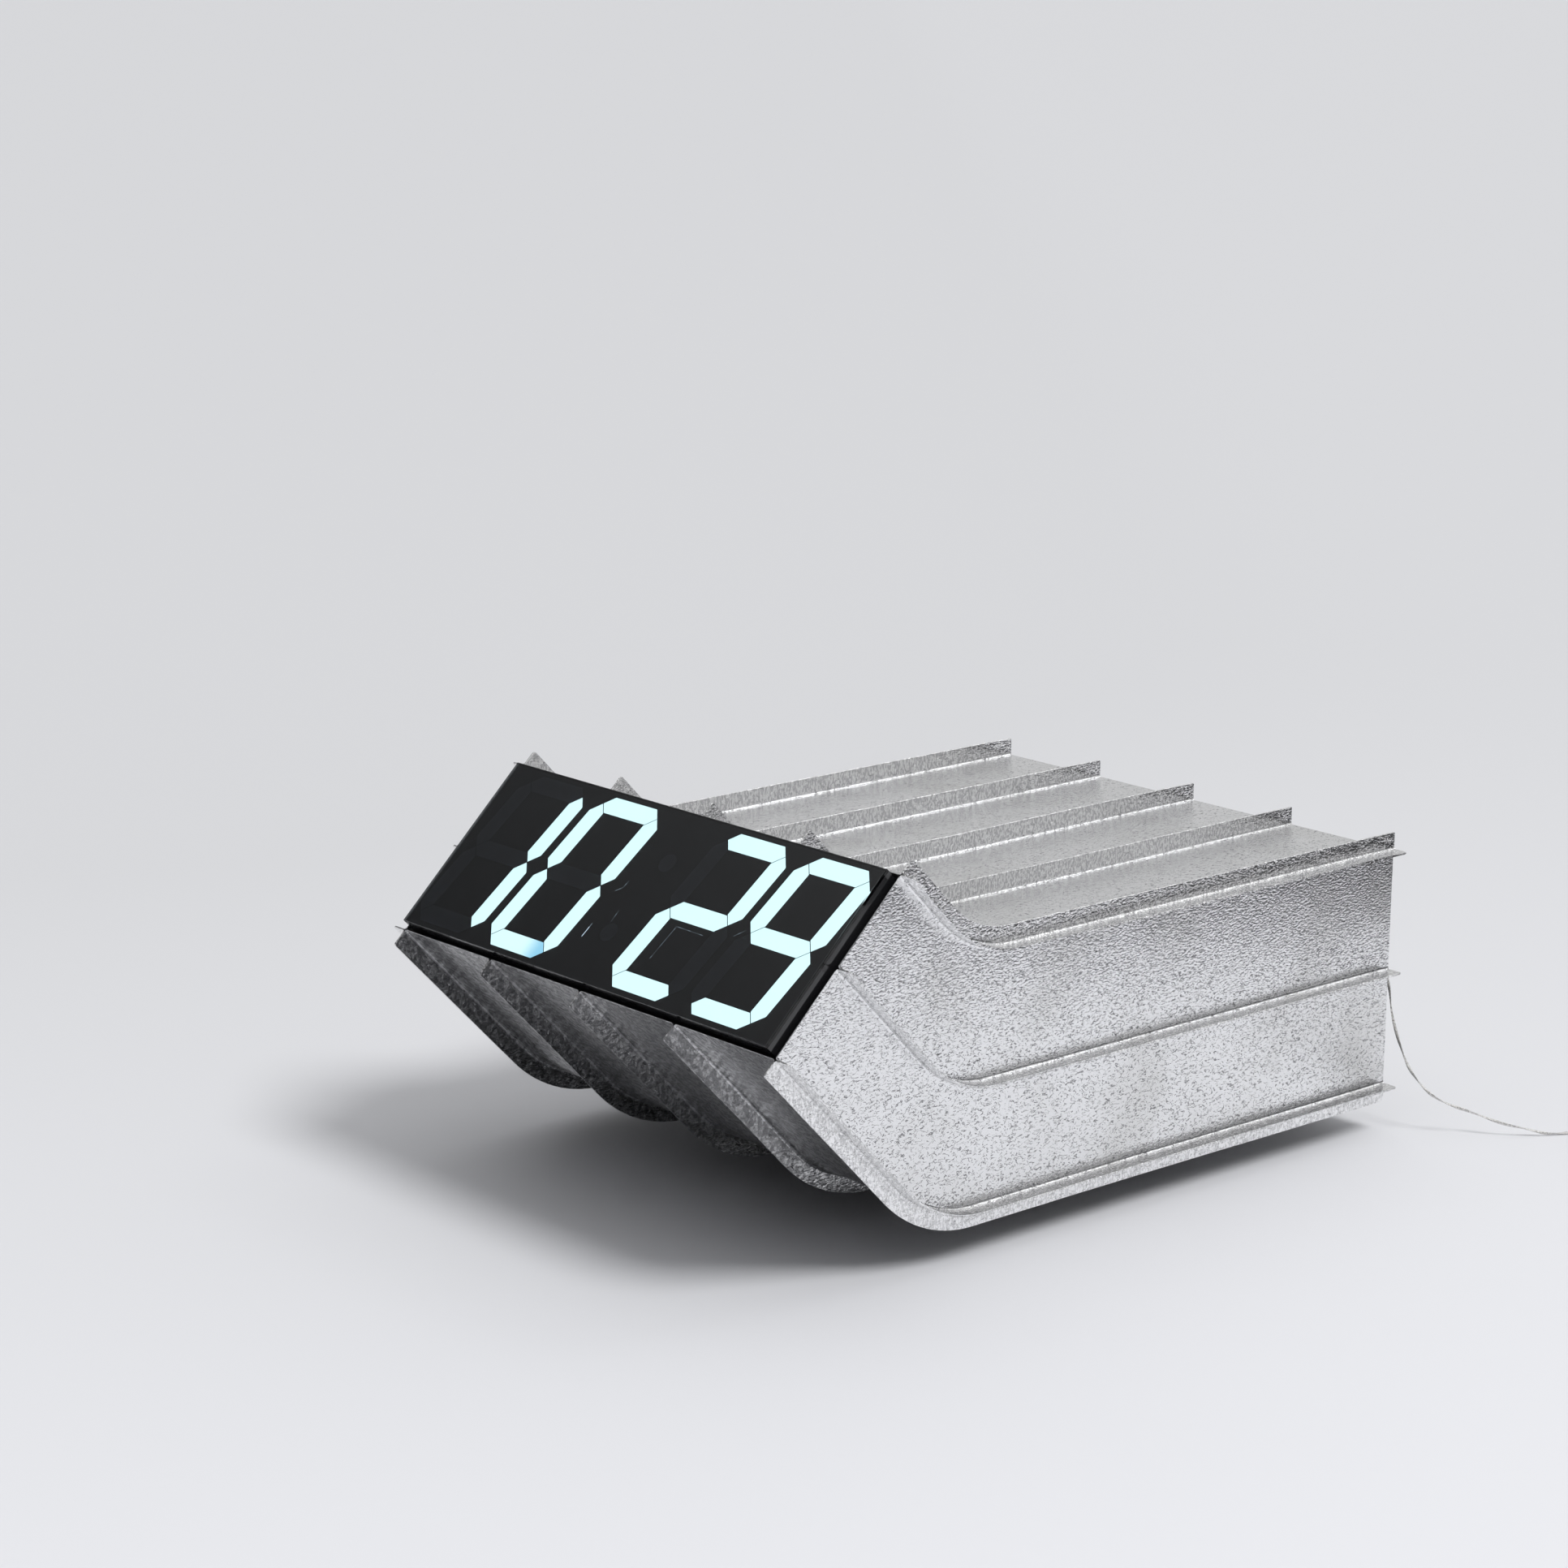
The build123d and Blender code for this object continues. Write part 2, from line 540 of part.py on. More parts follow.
button_places = {
    "hour_button": BUTTON_X,
    "minute_button": BUTTON_X + BUTTON_PITCH,
    "brightness_button": BUTTON_X + 2 * BUTTON_PITCH,
}
for x in button_places.values():
    rear_panel -= rod_y(x, rear_inside - 1, rear_face + 1, BUTTON_Z, BUTTON_RADIUS + SLIDE_GAP)
rear_panel -= rod_y(EXIT_X, rear_inside - 1, rear_face + 1, EXIT_Z, SLEEVE_NECK)
for side in (-1, 1):
    for row in range(VENT_ROWS):
        z = VENT_Z + row * VENT_PITCH
        x = side * VENT_X
        vent = box(
            (x - VENT_LENGTH / 2, rear_inside - 1, z - VENT_WIDTH / 2),
            (x + VENT_LENGTH / 2, rear_face + 1, z + VENT_WIDTH / 2),
        )
        # Just short of a full round, which would leave no flat between the two fillets.
        rear_panel -= fillet(vent.edges().filter_by(Axis.Y), 0.99 * VENT_WIDTH / 2)

# ---- controller board behind the rear panel ----
controller_rear = rear_inside - BOARD_STANDOFF
controller_x = BUTTON_X + BUTTON_PITCH
controller_z = BUTTON_Z - CONTROLLER_DROP
board_low = (
    controller_x - CONTROLLER_WIDTH / 2, controller_rear - BOARD, controller_z - CONTROLLER_HEIGHT / 2
)
board_high = (
    controller_x + CONTROLLER_WIDTH / 2, controller_rear, controller_z + CONTROLLER_HEIGHT / 2
)
controller = box(board_low, board_high)
spacers, spacer_screws = [], []
for x in (board_low[0] + SPACER_INSET, board_high[0] - SPACER_INSET):
    for z in (board_low[2] + SPACER_INSET, board_high[2] - SPACER_INSET):
        bore = rod_y(x, controller_rear - BOARD - 1, rear_face + 1, z, SCREW)
        controller -= bore
        rear_panel -= bore
        spacers.append(rod_y(x, controller_rear, rear_inside, z, SPACER_RADIUS) - bore)
        shank = rod_y(x, controller_rear - BOARD, rear_face, z, SCREW)
        head = rod_y(x, rear_face, rear_face + SPACER_HEAD, z, SPACER_HEAD_RADIUS)
        nut_end = controller_rear - BOARD
        nut = rod_y(x, nut_end - SPACER_NUT, nut_end, z, SPACER_NUT_RADIUS)
        spacer_screws.append(shank + head + nut)

switch_top = controller_rear + SWITCH_HEIGHT
flange_top = rear_inside - FLANGE_GAP
stem_end = switch_top - STEM_ENTRY
switches = []
for name, x in button_places.items():
    cap = rod_y(x, flange_top - FLANGE, rear_face + BUTTON_PROUD, BUTTON_Z, BUTTON_RADIUS)
    rim = cap.faces().sort_by(Axis.Y)[-1].edges()
    button = fillet(rim, 1)
    button += rod_y(x, flange_top - FLANGE, flange_top, BUTTON_Z, FLANGE_RADIUS)
    button += rod_y(x, stem_end, flange_top - FLANGE, BUTTON_Z, STEM)
    save(name, button)
    switch = box(
        (x - SWITCH / 2, controller_rear, BUTTON_Z - SWITCH / 2),
        (x + SWITCH / 2, switch_top, BUTTON_Z + SWITCH / 2),
    )
    well = rod_y(x, stem_end - BUTTON_TRAVEL - SLIDE_GAP, switch_top + 1, BUTTON_Z, STEM + SLIDE_GAP)
    switches.append(switch - well)

component_low = controller_rear - BOARD
components = [
    Pos(controller_x + x, component_low - depth / 2, controller_z + z) * Box(width, depth, height)
    for x, z, width, height, depth in CHIPS
]
cell_x, cell_z = controller_x + CELL_X, controller_z + CELL_Z
cell_seat = component_low - HOLDER_FLOOR
holder = rod_y(cell_x, component_low - HOLDER_DEPTH, component_low, cell_z, HOLDER_RADIUS)
holder -= rod_y(cell_x, component_low - HOLDER_DEPTH - 1, cell_seat, cell_z, HOLDER_BORE)
cell = rod_y(cell_x, cell_seat - CELL_DEPTH, cell_seat, cell_z, CELL_RADIUS)
terminal_x, terminal_z = board_high[0] - TERMINAL_X, board_low[2] + TERMINAL_Z
terminal = Pos(terminal_x, component_low - TERMINAL_SIZE[1] / 2, terminal_z) * Box(*TERMINAL_SIZE)
socket_z = board_low[2] + LEAD_SOCKET_Z
lead_socket = Pos(CABLE_X, component_low - LEAD_SOCKET_SIZE[1] / 2, socket_z) * Box(*LEAD_SOCKET_SIZE)

save("rear_panel", rear_panel)
save("rear_frame", rear_frame)
save("rear_panel_screws", solids_of(*rear_screws))
save("controller_board", controller)
save("controller_spacers_and_screws", solids_of(*spacers, *spacer_screws))
save("button_switches", solids_of(*switches))
save("controller_components", solids_of(*components, holder, terminal, lead_socket))
save("clock_battery", cell)

# ---- lead from the controller to the display, clipped along the duct's floor ----
(floor_back, floor_corner, floor_mouth), floor_radius = shifted_seam("bottom", LEAD_CLEAR)
display_end = mouth_middle + across * CABLE_Y + forward * (board_back - DISPLAY_SOCKET_SIZE[2])
lead_side = Vector(CABLE_X, 0, 0)
lead_points = [
    Vector(CABLE_X, component_low - LEAD_START, socket_z),
    Vector(CABLE_X, component_low - LEAD_DROP, socket_z),
    Vector(CABLE_X, component_low - LEAD_LANDING, floor_back.Z),
    lead_side + floor_corner,
    lead_side + floor_mouth - forward * LEAD_LIFT,
    lead_side + display_end - forward * LEAD_APPROACH,
    lead_side + display_end,
]
lead_radii = [LEAD_BEND, 2 * LEAD_BEND, floor_radius, 2 * LEAD_BEND, 2 * LEAD_BEND]
lead_path = FilletPolyline(*lead_points, radius=lead_radii)
start = Plane(origin=lead_points[0], z_dir=(0, -1, 0))
save("display_lead", sweep(start * Circle(LEAD / 2), path=lead_path))
clips = []
clip_low = bottom_level + SHEET
clip_high = floor_back.Z + LEAD / 2 + CLIP_WALL
for place in CLIP_PLACES:
    y_low = component_low - place - CLIP_LENGTH / 2
    y_high = y_low + CLIP_LENGTH
    base_low = (CABLE_X - CLIP_BASE / 2, y_low, clip_low)
    base = box(base_low, (CABLE_X + CLIP_BASE / 2, y_high, clip_low + CLIP_WALL))
    saddle = box((CABLE_X - CLIP_TOP / 2, y_low, clip_low), (CABLE_X + CLIP_TOP / 2, y_high, clip_high))
    clips.append(base + saddle - rod_y(CABLE_X, y_low - 1, y_high + 1, floor_back.Z, LEAD / 2))
save("lead_clips", solids_of(*clips))

# ---- power cord: sleeve, wires to the terminals, free cord, coil, tie and plug ----
exit_axis = Plane(origin=(EXIT_X, rear_face, EXIT_Z), x_dir=(1, 0, 0), z_dir=(0, 1, 0))
neck_length = REAR_SHEET + NECK_BEHIND


def on_exit(shape, start):
    return exit_axis * Pos(0, 0, start) * shape


taper = SLEEVE_LENGTH - COLLAR
sleeve = on_exit(Cylinder(SLEEVE_COLLAR, COLLAR, align=STANDING), 0)
sleeve += on_exit(Cone(SLEEVE_NECK, CORD / 2 + TAPER_WALL, taper, align=STANDING), COLLAR)
sleeve += on_exit(Cylinder(SLEEVE_NECK, neck_length, align=STANDING), -neck_length)
# The inner collar, which keeps the sleeve from being pulled out.
sleeve += on_exit(Cylinder(SLEEVE_NECK + 1, COLLAR, align=STANDING), -neck_length - COLLAR)
sleeve -= exit_axis * Cylinder(CORD / 2, 4 * SLEEVE_LENGTH)
save("cord_sleeve", sleeve)

wire_back = rear_face - neck_length - WIRE_RUN
wires = []
for side in (-1, 1):
    core_z = EXIT_Z + side * CORD / 4
    end_x = terminal_x + side * 2.5  # the terminal's two holes
    end_z = terminal_z + side * 1.5
    route = [
        (EXIT_X, rear_face + SLEEVE_LENGTH, core_z),
        (EXIT_X, wire_back, core_z),
        (EXIT_X - 8, component_low - WIRE_DROP, end_z + 10),
        (end_x, component_low - WIRE_TURN + side * 2, end_z),
        (end_x, component_low - TERMINAL_SIZE[1], end_z),
    ]
    path = FilletPolyline(*route, radius=[6, 5, 5])
    begin = Plane(origin=route[0], z_dir=(0, -1, 0))
    wires.append(sweep(begin * Circle(CORE_RADIUS), path=path))
save("terminal_wires", solids_of(*wires))

# The free cord's route to the coil, and from the coil to the plug.
cord_start = (EXIT_X, rear_face + SLEEVE_LENGTH, EXIT_Z)
CORD_ROUTE = [
    cord_start,
    (266, 479, 180),
    (269, 490, 171),
    (274, 493, 153),
    (282, 488, 127),
    (293, 486, 103),
    (302, 485, 87),
    (313, 484, 70),
    (327, 485, 56.3),
    (344, 490, 42.3),
    (358, 503, 33),
    (375, 523, 24.3),
    (403.5, 541, 14),
    (424, 565, 7.6),
    (434, 578.4, 2.4),
    (440, 590.5, 1.8),
    (447.4, 602.5, 1.7),
    (452.6, 612.9, 2),
    (458.5, 622.4, 2.5),
]
COIL_X, COIL_Y = 482.5, 619.3
TAIL_ROUTE = [(484, 643.5, 12.7), (495, 645, 10.8), (504.5, 641.5, 7), (510.1, 635, 5), (513.1, 631, 5)]


def bend_radii(points):
    """The largest bend at each corner that leaves a tenth of the shorter run straight."""
    radii = []
    for before, corner, after in zip(points, points[1:], points[2:]):
        first = Vector(*corner) - Vector(*before)
        second = Vector(*after) - Vector(*corner)
        half_turn = math.radians(first.get_angle(second) / 2)
        radii.append(0.45 * min(first.length, second.length) / math.tan(half_turn))
    return radii


def cord_tube(name, points):
    """A round tube along straight runs and tangent arcs; returns its length."""
    radii = bend_radii(points)
    path = FilletPolyline(*points, radius=radii)
    start = Plane(origin=points[0], z_dir=Vector(*points[1]) - Vector(*points[0]))
    tube = sweep(start * Circle(CORD / 2), path=path)
    expected = math.pi * (CORD / 2) ** 2 * path.length
    print(name, "radii", [round(radius, 1) for radius in radii])
    print(name, "length", round(path.length, 1), "volume share", round(tube.volume / expected, 4))
    save(name, tube)
    return path.length


loose_length = cord_tube("power_cord", CORD_ROUTE) + cord_tube("power_cord_tail", TAIL_ROUTE)
turns = (CORD_LENGTH - loose_length) / (2 * math.pi * COIL_RADIUS)
print("turns in the coil", round(turns, 2), "of", COIL_RINGS * COIL_LAYERS)

coil_width, coil_height = COIL_RINGS * CORD, COIL_LAYERS * CORD
coil_middle = Pos(COIL_RADIUS, TIE + coil_height / 2)
coil_section = coil_middle * RectangleRounded(coil_width, coil_height, COIL_ROUNDING)
coil = revolve(Plane.XZ * coil_section, axis=Axis.Z)
save("power_cord_coil", Pos(COIL_X, COIL_Y) * coil)

tie_hole = Box(coil_width + 2 * TIE_GAP, 2 * TIE_WIDTH, coil_height + TIE_GAP)
tie = Box(coil_width + 2 * (TIE + TIE_GAP), TIE_WIDTH, coil_height + 2 * TIE) - tie_hole
tie_place = Pos(COIL_X, COIL_Y) * Rot(0, 0, TIE_ANGLE) * Pos(COIL_RADIUS, 0, TIE + coil_height / 2)
save("coil_tie", tie_place * tie)

tail_mouth = Vector(*TAIL_ROUTE[-2])
plug_line = (Vector(*TAIL_ROUTE[-1]) - tail_mouth).normalized()
plug_axis = Plane(origin=tail_mouth, z_dir=plug_line)


def on_plug(shape, start):
    return plug_axis * Pos(0, 0, start) * shape


plug = on_plug(Cone(CORD / 2 + TAPER_WALL, PLUG_RADIUS - PLUG_SHOULDER, PLUG_TAIL, align=STANDING), 0)
body = Cylinder(PLUG_RADIUS, PLUG_BODY, align=STANDING)
plug += on_plug(fillet(body.edges().filter_by(GeomType.CIRCLE), PLUG_ROUNDING), PLUG_TAIL)
plug -= on_plug(Cylinder(CORD / 2, CORD_GRIP, align=STANDING), 0)
seat = PLUG_TAIL + PLUG_BODY - CORD_GRIP
plug -= on_plug(Cylinder(BARREL_RADIUS, CORD_GRIP, align=STANDING), seat)
barrel = Cylinder(BARREL_RADIUS, BARREL_LENGTH + CORD_GRIP, align=STANDING)
barrel -= Pos(0, 0, CORD_GRIP) * Cylinder(BARREL_BORE, BARREL_LENGTH, align=STANDING)
save("plug_body", plug)
save("plug_barrel", on_plug(barrel, seat))
print("overall depth", round(overall_depth, 2), "back", round(back, 2), "top", round(top_level, 2))
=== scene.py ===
import json
import math

import bmesh
import bpy
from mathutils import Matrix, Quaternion, Vector, noise


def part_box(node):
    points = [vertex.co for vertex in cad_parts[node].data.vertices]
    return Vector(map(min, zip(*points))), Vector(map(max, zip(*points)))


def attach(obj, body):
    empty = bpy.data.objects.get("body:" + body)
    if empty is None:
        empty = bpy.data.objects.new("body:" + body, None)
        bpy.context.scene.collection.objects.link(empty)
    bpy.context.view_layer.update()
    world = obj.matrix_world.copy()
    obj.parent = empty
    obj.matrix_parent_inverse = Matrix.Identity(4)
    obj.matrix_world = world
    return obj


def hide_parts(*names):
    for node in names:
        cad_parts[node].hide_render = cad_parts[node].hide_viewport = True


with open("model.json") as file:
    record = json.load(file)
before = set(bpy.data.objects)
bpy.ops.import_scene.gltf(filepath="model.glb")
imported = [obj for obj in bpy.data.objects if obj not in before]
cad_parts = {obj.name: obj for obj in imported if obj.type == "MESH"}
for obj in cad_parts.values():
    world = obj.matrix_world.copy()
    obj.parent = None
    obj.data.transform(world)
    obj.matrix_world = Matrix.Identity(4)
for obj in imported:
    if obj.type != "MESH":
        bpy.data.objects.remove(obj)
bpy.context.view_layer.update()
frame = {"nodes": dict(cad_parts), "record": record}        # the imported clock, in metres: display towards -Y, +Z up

nodes = frame["nodes"]
MM = 0.001
CLOCK = "clock"

# ---------------------------------------------------------------- the duct's shape
SHEET = 1.0 * MM
BEND = 3.0 * MM
FIN = 20.0 * MM
SLOPE = math.radians(46)
TOP_LENGTH = 647.0 * MM
TOP_RISE = 134.5 * MM
MOUTH_HEIGHT = 224.0 * MM
MID_SHARE = 0.51
BAYS = 4
RADII = {"top": 130.0 * MM, "mid": 120.0 * MM, "bottom": 150.0 * MM}

UP = Vector((0, 0, 1))
FORWARD = Vector((0, -math.cos(SLOPE), math.sin(SLOPE)))  # along the raised front section
ACROSS = Vector((0, math.sin(SLOPE), math.cos(SLOPE)))  # up the display's face

panel_low, panel_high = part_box("top_panel_1")
back = panel_high.y
half = -panel_low.x
bay = panel_high.x - panel_low.x
top_level = panel_low.z + SHEET
bottom_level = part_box("bottom_panel_1")[0].z + FIN
mid_level = top_level - MID_SHARE * (top_level - bottom_level)
mouth_top = Vector((0, back - TOP_LENGTH, top_level)) + FORWARD * TOP_RISE
mouth_middle = mouth_top - ACROSS * (MOUTH_HEIGHT / 2)
LEVELS = {"top": (top_level, 0.0), "mid": (mid_level, MID_SHARE), "bottom": (bottom_level, 1.0)}


class Seam:
    """The line along which two sheets meet: level, then an arc, then up the slope."""

    def __init__(self, name):
        level, share = LEVELS[name]
        radius = RADII[name]
        end = mouth_top - ACROSS * (MOUTH_HEIGHT * share)
        corner_y = end.y + (end.z - level) / math.tan(SLOPE)
        trim = radius * math.tan(SLOPE / 2)
        self.level = level
        self.radius = radius
        self.flat = back - corner_y - trim
        self.arc = radius * SLOPE
        self.rise = (end.z - level) / math.sin(SLOPE) - trim
        self.length = self.flat + self.arc + self.rise

    def at(self, distance):
        """The point and the outward direction at this distance from the back."""
        if distance <= self.flat:
            return Vector((0, back - distance, self.level)), UP
        angle = min((distance - self.flat) / self.radius, SLOPE)
        up = Vector((0, math.sin(angle), math.cos(angle)))
        centre = Vector((0, back - self.flat, self.level + self.radius))
        point = centre - up * self.radius
        extra = distance - self.flat - self.arc
        if extra > 0:
            point = point + FORWARD * extra
        return point, up

    def spot(self, part, share):
        """The same for a share of one part: 0 the level part, 1 the arc, 2 the slope."""
        lengths = (self.flat, self.arc, self.rise)
        return sum(lengths[:part]) + lengths[part] * share


SEAMS = {name: Seam(name) for name in LEVELS}

# ---------------------------------------------------------------- node helpers
def add(tree, kind, inputs=None, **settings):
    """A shader node with its settings and inputs; returns its first output."""
    node = tree.nodes.new("ShaderNode" + kind)
    for key, value in settings.items():
        setattr(node, key, value)
    for key, value in (inputs or {}).items():
        feed(tree, node.inputs[key], value)
    return node.outputs[0]


def feed(tree, socket, value):
    if isinstance(value, bpy.types.NodeSocket):
        tree.links.new(value, socket)
    elif socket.type == "RGBA" and len(value) == 3:
        socket.default_value = (*value, 1)
    else:
        socket.default_value = value


def math_node(tree, operation, first, second=0.0):
    return add(tree, "Math", {0: first, 1: second}, operation=operation)


MOST = (0.3, 0.7)  # between these lie nearly all of a noise's values
OFFSET_WAY = (1.0, 0.7, 1.3)  # the way in which a cloud's offset moves it


def ramp(tree, value, low, high, to_low=0.0, to_high=1.0):
    """A smooth step from to_low to to_high while value goes from low to high."""
    inputs = {"Value": value, "From Min": low, "From Max": high, "To Min": to_low, "To Max": to_high}
    return add(tree, "MapRange", inputs, interpolation_type="SMOOTHSTEP")


def mix(tree, factor, first, second):
    node = tree.nodes.new("ShaderNodeMix")
    node.data_type = "RGBA"
    for index, value in ((0, factor), (6, first), (7, second)):
        feed(tree, node.inputs[index], value)
    return node.outputs[2]


def cloud(tree, where, scale, detail=2.0, distortion=0.0, offset=0.0):
    """Soft noise about 0.5; offset makes it a different one."""
    if offset:
        shift = [offset * share for share in OFFSET_WAY]
        where = add(tree, "VectorMath", {0: where, 1: shift}, operation="ADD")
    inputs = {"Vector": where, "Scale": scale, "Detail": detail, "Distortion": distortion}
    return add(tree, "TexNoise", inputs)


def object_place(tree, stretch=(1, 1, 1)):
    coordinates = tree.nodes.new("ShaderNodeTexCoord")
    return add(tree, "VectorMath", {0: coordinates.outputs["Object"], 1: stretch}, operation="MULTIPLY")


def blank(name, **sockets):
    """A new material, its node tree and its shader, with constants on the shader's sockets."""
    material = bpy.data.materials.new(name)
    material.use_nodes = True
    tree = material.node_tree
    shader = tree.nodes["Principled BSDF"]
    for key, value in sockets.items():
        feed(tree, shader.inputs[key.replace("_", " ").title()], value)
    return material, tree, shader


def bumped(tree, shader, height, distance):
    normal = add(tree, "Bump", {"Height": height, "Distance": distance, "Strength": 1.0})
    feed(tree, shader.inputs["Normal"], normal)


PATCH_EDGES = (0.35, 0.65)
GLOSS_PATCH = 2.3  # how much finer the patches of gloss are than those of colour


def grained(name, dark, light, rough, grain, relief, patch=14.0, **sockets):
    """A finish of two close colours in soft patches, uneven gloss and a fine relief.

    rough gives the lowest and highest roughness; grain and patch are noise scales, per metre.
    """
    material, tree, shader = blank(name, **sockets)
    where = object_place(tree)
    patches = cloud(tree, where, patch, detail=3.0)
    feed(tree, shader.inputs["Base Color"], mix(tree, ramp(tree, patches, *PATCH_EDGES), dark, light))
    gloss = cloud(tree, where, patch * GLOSS_PATCH)
    feed(tree, shader.inputs["Roughness"], ramp(tree, gloss, *MOST, *rough))
    bumped(tree, shader, cloud(tree, where, grain), relief)
    return material


# ---------------------------------------------------------------- materials
# All scales are per metre. A range is what part of a noise's values the step lies in.
GRAIN_STRETCH = (1, 0.5, 1)  # wrinkles and creases are longer along the duct
WRINKLE_SCALE = 440.0
WRINKLE_HEIGHT = 0.32 * MM
CREASE_SCALE = 240.0
CREASE_WIDTH = 0.034  # of the noise whose middle line they follow
CREASE_DEPTH = 0.6  # as a share of the wrinkles' height
GAP_SCALE = 1.4 * CREASE_SCALE
GAP_RANGE = (0.45, 0.52)  # creases are broken off below and whole above
WAVE_SCALE = 30.0
WAVE_DEPTH = 0.8  # as a share of the wrinkles' height
SMUDGE_SCALE = 7.0
SMUDGE_RANGE = (0.42, 0.74)
# The sheet's colours where it is clean, where it is smudged and in a crease; the crease's dark colour is painted
# shade.
SHEET_COLOURS = [(0.92, 0.922, 0.93), (0.82, 0.82, 0.815), (0.25, 0.25, 0.26)]
SHEET_GLOSS = (0.14, 0.21)  # roughness in and on the wrinkles
SMUDGE_GLOSS = 0.06  # added where the sheet is smudged
FLANGE = "flange"  # the mesh attribute that is 1 on a sheet's flanges and 0 on its web
FLANGE_RELIEF = 1.4  # wrinkles are deeper on the flanges, which were worked by hand
# Painted glints: the flanges' bright specks stand for light glinting off their wrinkles, on a duller base.
FLANGE_GLINT_COLOURS = [(0.75, 0.75, 0.755), (0.99, 0.99, 0.99)]  # between their bright specks and in one
GLINT_SCALE = 1.7 * CREASE_SCALE
GLINT_STRETCH = (1, 1, 0.5)  # specks are longer upwards
GLINT_RANGE = (0.46, 0.54)
MOTTLE_SCALE = 170.0
MOTTLE_RANGE = (0.42, 0.58)


def stucco(name, tone=1.0, mottle=0.0):
    """Mill-finish aluminium, rolled with fine random wrinkles.

    A tone below 1 darkens it all as painted shade; mottle is how strongly it is speckled with the crease's painted
    shade colour.
    """
    material, tree, shader = blank(name, metallic=1.0)
    where = object_place(tree)
    stretched = object_place(tree, GRAIN_STRETCH)
    wrinkle = cloud(tree, stretched, WRINKLE_SCALE, detail=1.0, distortion=0.3)
    ridge = cloud(tree, stretched, CREASE_SCALE, distortion=0.8, offset=3.1)
    off_ridge = math_node(tree, "ABSOLUTE", math_node(tree, "SUBTRACT", ridge, 0.5))
    line = ramp(tree, off_ridge, 0.0, CREASE_WIDTH, 1.0, 0.0)
    whole = ramp(tree, cloud(tree, stretched, GAP_SCALE, detail=1.0, offset=5.7), *GAP_RANGE)
    crease = math_node(tree, "MULTIPLY", line, whole)
    waves = cloud(tree, where, WAVE_SCALE, detail=1.0, offset=9.2)
    height = math_node(tree, "SUBTRACT", wrinkle, math_node(tree, "MULTIPLY", crease, CREASE_DEPTH))
    height = math_node(tree, "ADD", height, math_node(tree, "MULTIPLY", waves, WAVE_DEPTH))
    flange = add(tree, "Attribute", attribute_name=FLANGE).node.outputs["Fac"]
    relief = ramp(tree, flange, 0.0, 1.0, WRINKLE_HEIGHT, FLANGE_RELIEF * WRINKLE_HEIGHT)
    bumped(tree, shader, height, relief)
    smudge = ramp(tree, cloud(tree, where, SMUDGE_SCALE, detail=3.0, distortion=0.4), *SMUDGE_RANGE)
    clean, dull, dark = [[tone * part for part in colour] for colour in SHEET_COLOURS]
    # Painted shade: the creases are darkened in colour as well as cut in by the bump.
    web = mix(tree, crease, mix(tree, smudge, clean, dull), dark)
    # Painted glints: bright specks mixed into the flanges' colour.
    glint = cloud(tree, object_place(tree, GLINT_STRETCH), GLINT_SCALE, detail=1.0, offset=7.3)
    glinted = [[tone * part for part in colour] for colour in FLANGE_GLINT_COLOURS]
    glinted = mix(tree, ramp(tree, glint, *GLINT_RANGE), *glinted)
    # Mottle: speckles of the creases' painted shade colour.
    speckle = cloud(tree, where, MOTTLE_SCALE, detail=1.0, offset=11.3)
    speckle = ramp(tree, speckle, *MOTTLE_RANGE, 0.0, mottle)
    feed(tree, shader.inputs["Base Color"], mix(tree, speckle, mix(tree, flange, web, glinted), dark))
    gloss = ramp(tree, wrinkle, *MOST, *SHEET_GLOSS)
    gloss = math_node(tree, "ADD", gloss, math_node(tree, "MULTIPLY", smudge, SMUDGE_GLOSS))
    feed(tree, shader.inputs["Roughness"], gloss)
    return material


SPANGLE_SCALE = 160.0
ZINC_COLOURS = [(0.5, 0.51, 0.52), (0.66, 0.66, 0.65)]
ZINC_GLOSS = (0.32, 0.46)
ZINC_GRAIN = 700.0
ZINC_RELIEF = 0.05 * MM


def zinc():
    """Plated steel with faint grey spangles."""
    material, tree, shader = blank("zinc_steel", metallic=1.0)
    where = object_place(tree)
    spangle = tree.nodes.new("ShaderNodeTexVoronoi")
    feed(tree, spangle.inputs["Vector"], where)
    spangle.inputs["Scale"].default_value = SPANGLE_SCALE
    tone = add(tree, "SeparateColor", {0: spangle.outputs["Color"]})
    feed(tree, shader.inputs["Base Color"], mix(tree, tone, *ZINC_COLOURS))
    feed(tree, shader.inputs["Roughness"], ramp(tree, tone, 0.0, 1.0, *ZINC_GLOSS))
    bumped(tree, shader, cloud(tree, where, ZINC_GRAIN), ZINC_RELIEF)
    return material


TRACK_CELLS = 190.0  # per metre
TRACKS_A_CELL = 5.0
TRACK_EDGE = (0.42, 0.55)
BOARD_COLOURS = [(0.008, 0.09, 0.05), (0.03, 0.2, 0.1)]  # between the tracks and over them
TRACK_RELIEF = 0.04 * MM


def circuit():
    """Green solder mask over a net of copper tracks."""
    material, tree, shader = blank("circuit_board", roughness=0.28, coat_weight=0.4)
    where = object_place(tree)
    cells = tree.nodes.new("ShaderNodeTexVoronoi")
    cells.distance = "MANHATTAN"
    feed(tree, cells.inputs["Vector"], where)
    cells.inputs["Scale"].default_value = TRACK_CELLS
    bands = math_node(tree, "FRACT", math_node(tree, "MULTIPLY", cells.outputs["Distance"], TRACKS_A_CELL))
    track = ramp(tree, bands, *TRACK_EDGE)
    feed(tree, shader.inputs["Base Color"], mix(tree, track, *BOARD_COLOURS))
    bumped(tree, shader, track, TRACK_RELIEF)
    return material


